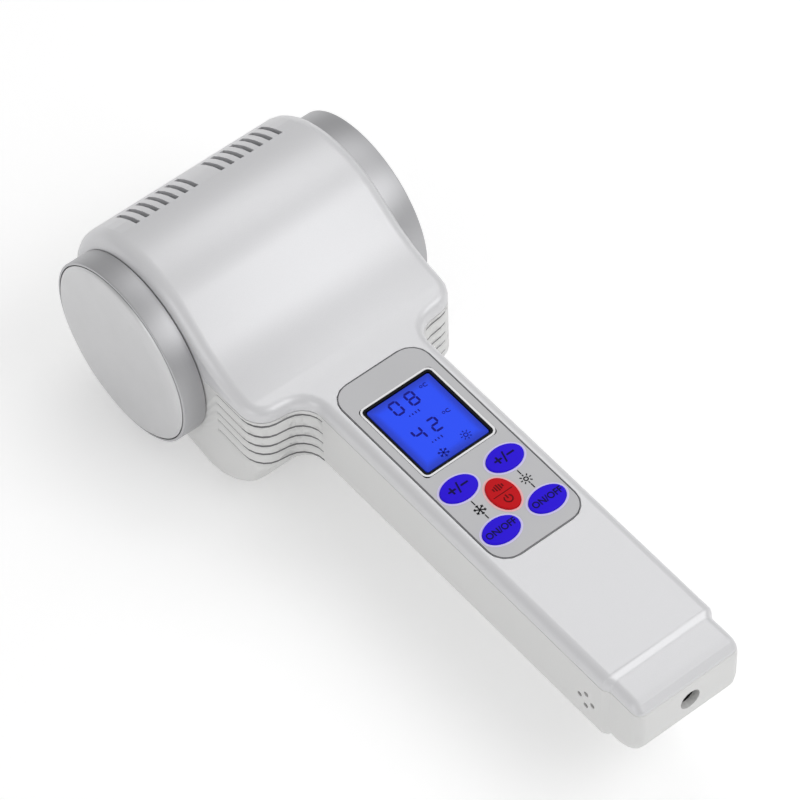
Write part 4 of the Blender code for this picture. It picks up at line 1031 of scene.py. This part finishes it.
MOULDED_PARTS = (
    (
        ("Moulded black nylon", "#1B1B1D", 0.5, 0.3, 0.004, 0.1),
        (
            "cold_collar",
            "hot_collar",
            "fan_frame",
            "fan_rotor",
            "motor_clamp",
            "power_socket",
            "buzzer",
            *(f"{key}_switch" for key in KEYS),
        ),
    ),
    (
        ("Black epoxy", "#242427", 0.6, 0.2, 0.004, 0.08),
        ("controller_chip", "cold_thermistor", "hot_thermistor"),
    ),
    (("Shrunk vinyl sleeve", "#15161C", 0.2, 0.6, 0.002, 0.03), ("board_capacitor",)),
    (("Fired alumina", "#EDEBE6", 0.55, 0.15, 0.003, 0.03), ("cooling_module",)),
    (("Polyimide film", "#B8731F", 0.3, 0.8, 0.003, 0.06), ("heater_element",)),
    (
        ("Red vinyl wire", "#B01313", 0.4, 0.5, 0.002, 0.03),
        ("module_lead", "heater_lead", "socket_lead"),
    ),
    (("Yellow vinyl wire", "#D9B11E", 0.4, 0.5, 0.002, 0.03), ("motor_lead",)),
    (("Black vinyl wire", "#141416", 0.4, 0.5, 0.002, 0.03), ("fan_lead", "buzzer_lead")),
)

# Bare metal parts: finish, colour, roughness and spacing of the marks in millimetres, and nodes

METAL_PARTS = (
    (
        ("Zinc plated steel", "#B4B6B8", 0.35, 0.2),
        (
            *(f"fan_screw_{count}" for count in (1, 2, 3, 4)),
            "board_screw_1",
            "board_screw_2",
            *HOUSING_SCREWS,
        ),
    ),
    (("Extruded aluminium", "#C9CACC", 0.38, 0.25), ("heat_sink", "heater_backing_plate")),
    (("Drawn steel can", "#AEB0B3", 0.3, 0.3), ("vibration_motor",)),
    (("Turned brass", "#C9A35A", 0.32, 0.2), ("eccentric_weight", "socket_pin")),
)


class DressInside(bpy.types.Operator):
    """Gives the parts inside the housing and its screws their finishes"""

    bl_idname = "device.dress_inside"
    bl_label = "Dress the inner parts"

    def execute(self, context):
        for (name, value, roughness, grit, depth, drift), nodes in MOULDED_PARTS:
            finish = moulded(
                name, linear(value), roughness, grit * MILLIMETRE, depth * MILLIMETRE, drift
            )
            for node in nodes:
                wear(node, finish)
        for (name, value, roughness, spacing), nodes in METAL_PARTS:
            finish = brushed(name, linear(value), roughness, spacing * MILLIMETRE)
            for node in nodes:
                wear(node, finish)
        wear("circuit_board", woven_board("Lacquered fibre board", linear("#0E5A2A")))
        return {"FINISHED"}


class DressPanel(bpy.types.Operator):
    """Gives the panel, the display and the keys their finishes"""

    bl_idname = "device.dress_panel"
    bl_label = "Dress the panel and keys"

    def execute(self, context):
        colours, sizes, _ = settings()
        wear("control_panel", overlay_film("Velvet grey overlay", colours.overlay))
        border = moulded(
            "Black glass border",
            linear("#050508"),
            0.4,
            0.4 * MILLIMETRE,
            0.001 * MILLIMETRE,
            Specular_IOR_Level=0.1,
        )
        wear("display_frame", border)
        low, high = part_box("display_window")
        glass = lit_display(
            "Lit blue display", colours.backlight, colours.backlight_edge, low, high
        )
        wear("display_window", glass)
        blue = silicone("Blue silicone key", colours.key_blue)
        red = silicone("Red silicone key", colours.key_red)
        for key in KEYS:
            rubber = red if key == RED_KEY else blue
            wear(f"{key}_key", rubber)
            self.cap(key, sizes, rubber)
        return {"FINISHED"}

    def cap(self, key, sizes, material):
        """The key's smooth top, fitted over the faceted one."""
        centre = middle(f"{key}_key")
        low = surface("control_panel") - 0.5 * MILLIMETRE
        high = surface(f"{key}_key") + sizes.ink / 4
        work = bmesh.new()
        oval_sheet(work, (centre.x, centre.y, low), *key_face(key))
        raise_faces(work, work.faces[:], high - low)
        rim = [edge for edge in work.edges if all(v.co.z > high - JOIN for v in edge.verts)]
        bmesh.ops.bevel(
            work,
            geom=rim,
            offset=sizes.key_edge,
            segments=4,
            profile=0.5,
            affect="EDGES",
            material=-1,
        )
        finish_piece(f"{key}_cap", work, f"{key}_button", material, BEND)


class PrintPanel(bpy.types.Operator):
    """Prints the outlines, the link lines and the snow and sun signs on the panel, and the painted
    shade round its edge
    """

    bl_idname = "device.print_panel"
    bl_label = "Print the panel"

    def execute(self, context):
        colours, sizes, _ = settings()
        top = surface("control_panel") + sizes.ink / 4
        self.outlines(colours, sizes, top)
        self.key_outlines(colours, sizes, top)
        self.links_and_signs(colours, sizes, top)
        return {"FINISHED"}

    def outlines(self, colours, sizes, top):
        """The thin line round the panel, which is painted shade where the panel's edge meets the
        shell, and the white one round the display.
        """
        panel_corner = 5.6 * MILLIMETRE
        display_corner = 1.9 * MILLIMETRE
        low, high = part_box("control_panel")
        work = bmesh.new()
        rounded_sheet(work, low, high, panel_corner, top)
        framed(work, work.faces[:], sizes.panel_line, sizes.ink)
        # The grey line is painted shade along the panel's edge
        ink = print_and_shade_film("Grey outline ink", colours.outline)
        finish_piece("panel_outline", work, HOUSING, ink)
        # The white line laps over the black border, whose edge it hides
        low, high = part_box("display_frame")
        grow = Vector((1, 1, 0)) * 0.28 * MILLIMETRE
        top = max(top, high.z + sizes.ink / 4)
        work = bmesh.new()
        rounded_sheet(work, low - grow, high + grow, display_corner, top)
        framed(work, work.faces[:], sizes.display_line, sizes.ink)
        ink = print_and_shade_film("White outline ink", colours.white_ink)
        finish_piece("display_outline", work, HOUSING, ink)

    def key_outlines(self, colours, sizes, top):
        """The pale ring round each key, which leaves the key room to move."""
        clearance = 0.06 * MILLIMETRE
        lilac = print_and_shade_film("Lilac outline ink", colours.lilac)
        pink = print_and_shade_film("Pink outline ink", colours.pink)
        for key in KEYS:
            centre = middle(f"{key}_key")
            width, length = key_face(key)
            grow = 2 * (sizes.key_line + clearance)
            work = bmesh.new()
            oval_sheet(work, (centre.x, centre.y, top), width + grow, length + grow)
            framed(work, work.faces[:], sizes.key_line, sizes.ink)
            ink = pink if key == RED_KEY else lilac
            finish_piece(f"{key}_outline", work, HOUSING, ink)

    def links_and_signs(self, colours, sizes, top):
        """The snow and sun signs, each with a line to the keys above and below it."""
        stroke = 0.32 * MILLIMETRE
        ink = print_and_shade_film("Black panel ink", colours.dark_ink)
        half = KEY_SHORT / 2
        for side in ("cold", "warm"):
            upper = middle(f"{side}_temperature_key")
            lower = middle(f"{side}_start_key")
            centre = Vector(((upper.x + lower.x) / 2, (upper.y + lower.y) / 2))
            work = bmesh.new()
            reach = sizes.icon / 2 + 0.25 * MILLIMETRE
            edge = half + 0.45 * MILLIMETRE + sizes.key_line
            for way, key in ((1, upper), (-1, lower)):
                start = (centre.x, centre.y + way * reach)
                end = (centre.x, key.y - way * edge)
                bar(work, start, end, sizes.link_width, top, sizes.ink)
            sign = snow_sign if side == "cold" else sun_sign
            sign(work, tuple(centre), sizes.icon, stroke, top, sizes.ink)
            finish_piece(f"{side}_sign", work, HOUSING, ink)


class PrintKeys(bpy.types.Operator):
    """Prints the marks on the five keys"""

    bl_idname = "device.print_keys"
    bl_label = "Print the keys"

    def execute(self, context):
        colours, sizes, _ = settings()
        on_blue = print_and_shade_film("Dark ink on blue", colours.blue_key_ink)
        on_red = print_and_shade_film("Dark ink on red", colours.red_key_ink)
        for key in KEYS:
            centre = middle(f"{key}_key")
            top = surface(f"{key}_key") + sizes.ink / 2
            at = (centre.x, centre.y)
            work = bmesh.new()
            if key == RED_KEY:
                self.vibration(work, at, sizes, top)
            elif "temperature" in key:
                lettering(work, "+/−", at, 4.4 * MILLIMETRE, top, sizes.ink)
            else:
                lettering(work, "ON/OFF", at, 2.7 * MILLIMETRE, top, sizes.ink, squeeze=0.92)
            ink = on_red if key == RED_KEY else on_blue
            finish_piece(f"{key}_mark", work, f"{key}_button", ink)
        return {"FINISHED"}

    def vibration(self, work, at, sizes, top):
        """The bars and the power sign, with a line between them."""
        stroke = 0.34 * MILLIMETRE
        x, y = at
        half = 2.9 * MILLIMETRE
        bar(work, (x - half, y), (x + half, y), 0.2 * MILLIMETRE, top, sizes.ink)
        wave_sign(work, (x, y + 2.0 * MILLIMETRE), 3.4 * MILLIMETRE, stroke, top, sizes.ink)
        power_sign(work, (x, y - 2.1 * MILLIMETRE), 2.5 * MILLIMETRE, stroke, top, sizes.ink)


# The display's two rows: how far up and along from its middle, in millimetres, and the figures

READINGS = ((8.15, -0.75, "08"), (-1.55, -1.5, "42"))


class LightDisplay(bpy.types.Operator):
    """Puts the digits and small signs on the display"""

    bl_idname = "device.light_display"
    bl_label = "Light the display"

    def execute(self, context):
        colours, sizes, _ = settings()
        top = surface("display_window") + sizes.ink / 4
        centre = middle("display_window")
        ink = print_and_shade_film("Dark crystal segments", colours.segment, 0.3)
        work = bmesh.new()
        for up, along, figures in READINGS:
            self.reading(work, centre, up, along, figures, sizes, top)
        stroke = 0.24 * MILLIMETRE
        across = 3.0 * MILLIMETRE
        left = (centre.x - 2.9 * MILLIMETRE, centre.y - 9.6 * MILLIMETRE)
        right = (centre.x + 4.7 * MILLIMETRE, centre.y - 8.9 * MILLIMETRE)
        snow_sign(work, left, across, stroke, top, sizes.ink)
        sun_sign(work, right, across, stroke, top, sizes.ink)
        finish_piece("display_digits", work, HOUSING, ink)
        return {"FINISHED"}

    def reading(self, work, centre, up, along, figures, sizes, top):
        """Two digits with a degree sign after them and small bars under them."""
        pitch = 4.9
        for place, figure in enumerate(figures):
            x = centre.x + (along + (place - 0.5) * pitch) * MILLIMETRE
            y = centre.y + up * MILLIMETRE
            digit(work, figure, (x, y), sizes, top)
        mark = (centre.x + (along + 6.4) * MILLIMETRE, centre.y + (up + 1.4) * MILLIMETRE)
        flat_ring(work, mark, 0.42 * MILLIMETRE, 0.16 * MILLIMETRE, top, sizes.ink, steps=16)
        unit = (mark[0] + 1.15 * MILLIMETRE, mark[1] - 0.2 * MILLIMETRE)
        lettering(work, "C", unit, 1.7 * MILLIMETRE, top, sizes.ink)
        bars = (centre.x + along * MILLIMETRE, centre.y + (up - 3.9) * MILLIMETRE)
        level_bars(work, bars, 0.3 * MILLIMETRE, top, sizes.ink)


class PaintScrewRecessShade(bpy.types.Operator):
    """Paints dark crosses on the heads of the three screws in the back, as painted shade in their
    recesses
    """

    bl_idname = "device.cut_screw_slots"
    bl_label = "Mark the screw heads"

    def execute(self, context):
        # The dark crosses are painted shade, where the screws' recesses would be dark
        shadow = moulded(
            "Oiled recess", linear("#17181A"), 0.6, 0.2 * MILLIMETRE, 0.002 * MILLIMETRE
        )
        for node in HOUSING_SCREWS:
            centre = middle(node)
            at = Vector((centre.x, centre.y))
            half = 0.3 * width_of(node)
            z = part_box(node)[0].z - 0.05 * MILLIMETRE
            work = bmesh.new()
            for way in (Vector((half, 0)), Vector((0, half))):
                bar(work, at - way, at + way, 0.26 * half, z, 0.04 * MILLIMETRE)
            name = node.replace("screw", "cross")
            finish_piece(name, work, HOUSING, shadow)
        return {"FINISHED"}


# The studio's softboxes: place and size in metres, and the property that holds the power

LAMP_AIM = Vector((0.0, 0.0, 0.03))
SOFTBOXES = (
    ("front_softbox", (0.38, -0.53, 0.79), (0.8, 0.6), "front_power"),
    ("top_softbox", (0.38, 0.36, 0.84), (0.6, 0.5), "top_power"),
    ("side_softbox", (-0.9, -0.1, 0.28), (0.5, 0.4), "side_power"),
)

# The camera, read from edges and circles of the photograph

CAMERA_LENS = 224.06
CAMERA_PLACE = (-0.45928, -0.57857, 1.00908)
CAMERA_RIGHT = Vector((0.77401335, -0.63296546, -0.01606443))
CAMERA_UP = Vector((0.50946216, 0.60752272, 0.60939680))


class BuildStudio(bpy.types.Operator):
    """Makes the floor, the lamps, the room and the camera"""

    bl_idname = "device.build_studio"
    bl_label = "Build the studio"

    def execute(self, context):
        colours, _, studio = settings()
        self.floor(colours, studio)
        for name, place, extent, source in SOFTBOXES:
            self.softbox(name, place, extent, getattr(studio, source))
        self.room(studio)
        self.camera()
        return {"FINISHED"}

    def floor(self, colours, studio):
        """A sheet of paper just below the part, which has a flat underside itself."""
        work = bmesh.new()
        below = Matrix.Translation((0, 0, -0.02 * MILLIMETRE))
        half = studio.floor / 2
        bmesh.ops.create_grid(work, x_segments=1, y_segments=1, size=half, matrix=below)
        mesh = bpy.data.meshes.new("floor")
        work.to_mesh(mesh)
        work.free()
        floor = bpy.data.objects.new("floor", mesh)
        bpy.context.scene.collection.objects.link(floor)
        mesh.materials.append(self.paper(colours))

    def paper(self, colours):
        """Pale paper that glows a little for the camera and in gloss, so that it renders white."""
        glow = 0.3
        material, shader = plain_material("Pale paper", colours.floor, 0.9, IOR=1.3)
        fibre = grain(material, 1 / (0.8 * MILLIMETRE))
        tinted(material, shader, fibre, shaded(colours.floor, 0.995), colours.floor)
        path = add(material, "LightPath")
        seen = path.outputs["Is Camera Ray"]
        for ray in ("Is Glossy Ray", "Is Transmission Ray"):
            seen = add(
                material, "Math", operation="MAXIMUM", links={0: seen, 1: path.outputs[ray]}
            ).outputs[0]
        strength = add(material, "Math", operation="MULTIPLY", inputs={1: glow}, links={0: seen})
        shader.inputs["Emission Color"].default_value = (1.0, 1.0, 1.0, 1.0)
        wire(material, strength.outputs[0], shader, "Emission Strength")
        return material

    def softbox(self, name, place, extent, watts):
        """A rectangular lamp that faces the part."""
        lamp = bpy.data.lights.new(name, "AREA")
        lamp.shape = "RECTANGLE"
        lamp.size, lamp.size_y = extent
        lamp.energy = watts
        holder = bpy.data.objects.new(name, lamp)
        bpy.context.scene.collection.objects.link(holder)
        holder.location = place
        way = LAMP_AIM - Vector(place)
        holder.rotation_euler = way.to_track_quat("-Z", "Y").to_euler()

    def room(self, studio):
        """Even white light from all round."""
        world = bpy.data.worlds.new("Pale room")
        world.use_nodes = True
        ground = world.node_tree.nodes["Background"]
        ground.inputs["Color"].default_value = (1.0, 1.0, 1.0, 1.0)
        ground.inputs["Strength"].default_value = studio.sky
        bpy.context.scene.world = world

    def camera(self):
        """A long lens at the photograph's viewing angle."""
        lens = bpy.data.cameras.new("camera")
        lens.sensor_width = 36.0
        lens.lens = CAMERA_LENS
        lens.clip_end = 20.0
        holder = bpy.data.objects.new("camera", lens)
        bpy.context.scene.collection.objects.link(holder)
        back = CAMERA_RIGHT.cross(CAMERA_UP)
        turn = Matrix((CAMERA_RIGHT, CAMERA_UP, back)).transposed().to_4x4()
        holder.matrix_world = Matrix.Translation(CAMERA_PLACE) @ turn
        bpy.context.scene.camera = holder


class DevicePanel(bpy.types.Panel):
    """Lists the steps, colours and sizes"""

    bl_idname = "VIEW3D_PT_device"
    bl_label = "Facial device"
    bl_space_type = "VIEW_3D"
    bl_region_type = "UI"
    bl_category = "Device"

    def draw(self, context):
        for step in STEPS:
            self.layout.operator(step.bl_idname)
        scene = context.scene
        for group in (scene.device_colours, scene.device_sizes, scene.device_studio):
            box = self.layout.box()
            for name in group.__annotations__:
                box.prop(group, name)


STEPS = (
    DressHousing,
    DressHeads,
    DressInside,
    DressPanel,
    PrintPanel,
    PrintKeys,
    LightDisplay,
    PaintScrewRecessShade,
    BuildStudio,
)
GROUPS = (
    ("device_colours", DeviceColours),
    ("device_sizes", DeviceSizes),
    ("device_studio", DeviceStudio),
)


def register():
    for _, group in GROUPS:
        bpy.utils.register_class(group)
    for name, group in GROUPS:
        setattr(bpy.types.Scene, name, bpy.props.PointerProperty(type=group))
    for step in STEPS:
        bpy.utils.register_class(step)
    bpy.utils.register_class(DevicePanel)


def unregister():
    bpy.utils.unregister_class(DevicePanel)
    for step in reversed(STEPS):
        bpy.utils.unregister_class(step)
    for name, group in reversed(GROUPS):
        delattr(bpy.types.Scene, name)
        bpy.utils.unregister_class(group)


def main():
    register()
    bpy.context.scene.view_settings.view_transform = "Standard"
    bpy.ops.device.dress_housing()
    bpy.ops.device.dress_heads()
    bpy.ops.device.dress_inside()
    bpy.ops.device.dress_panel()
    bpy.ops.device.print_panel()
    bpy.ops.device.print_keys()
    bpy.ops.device.light_display()
    bpy.ops.device.cut_screw_slots()
    bpy.ops.device.build_studio()


if __name__ == "__main__":
    main()
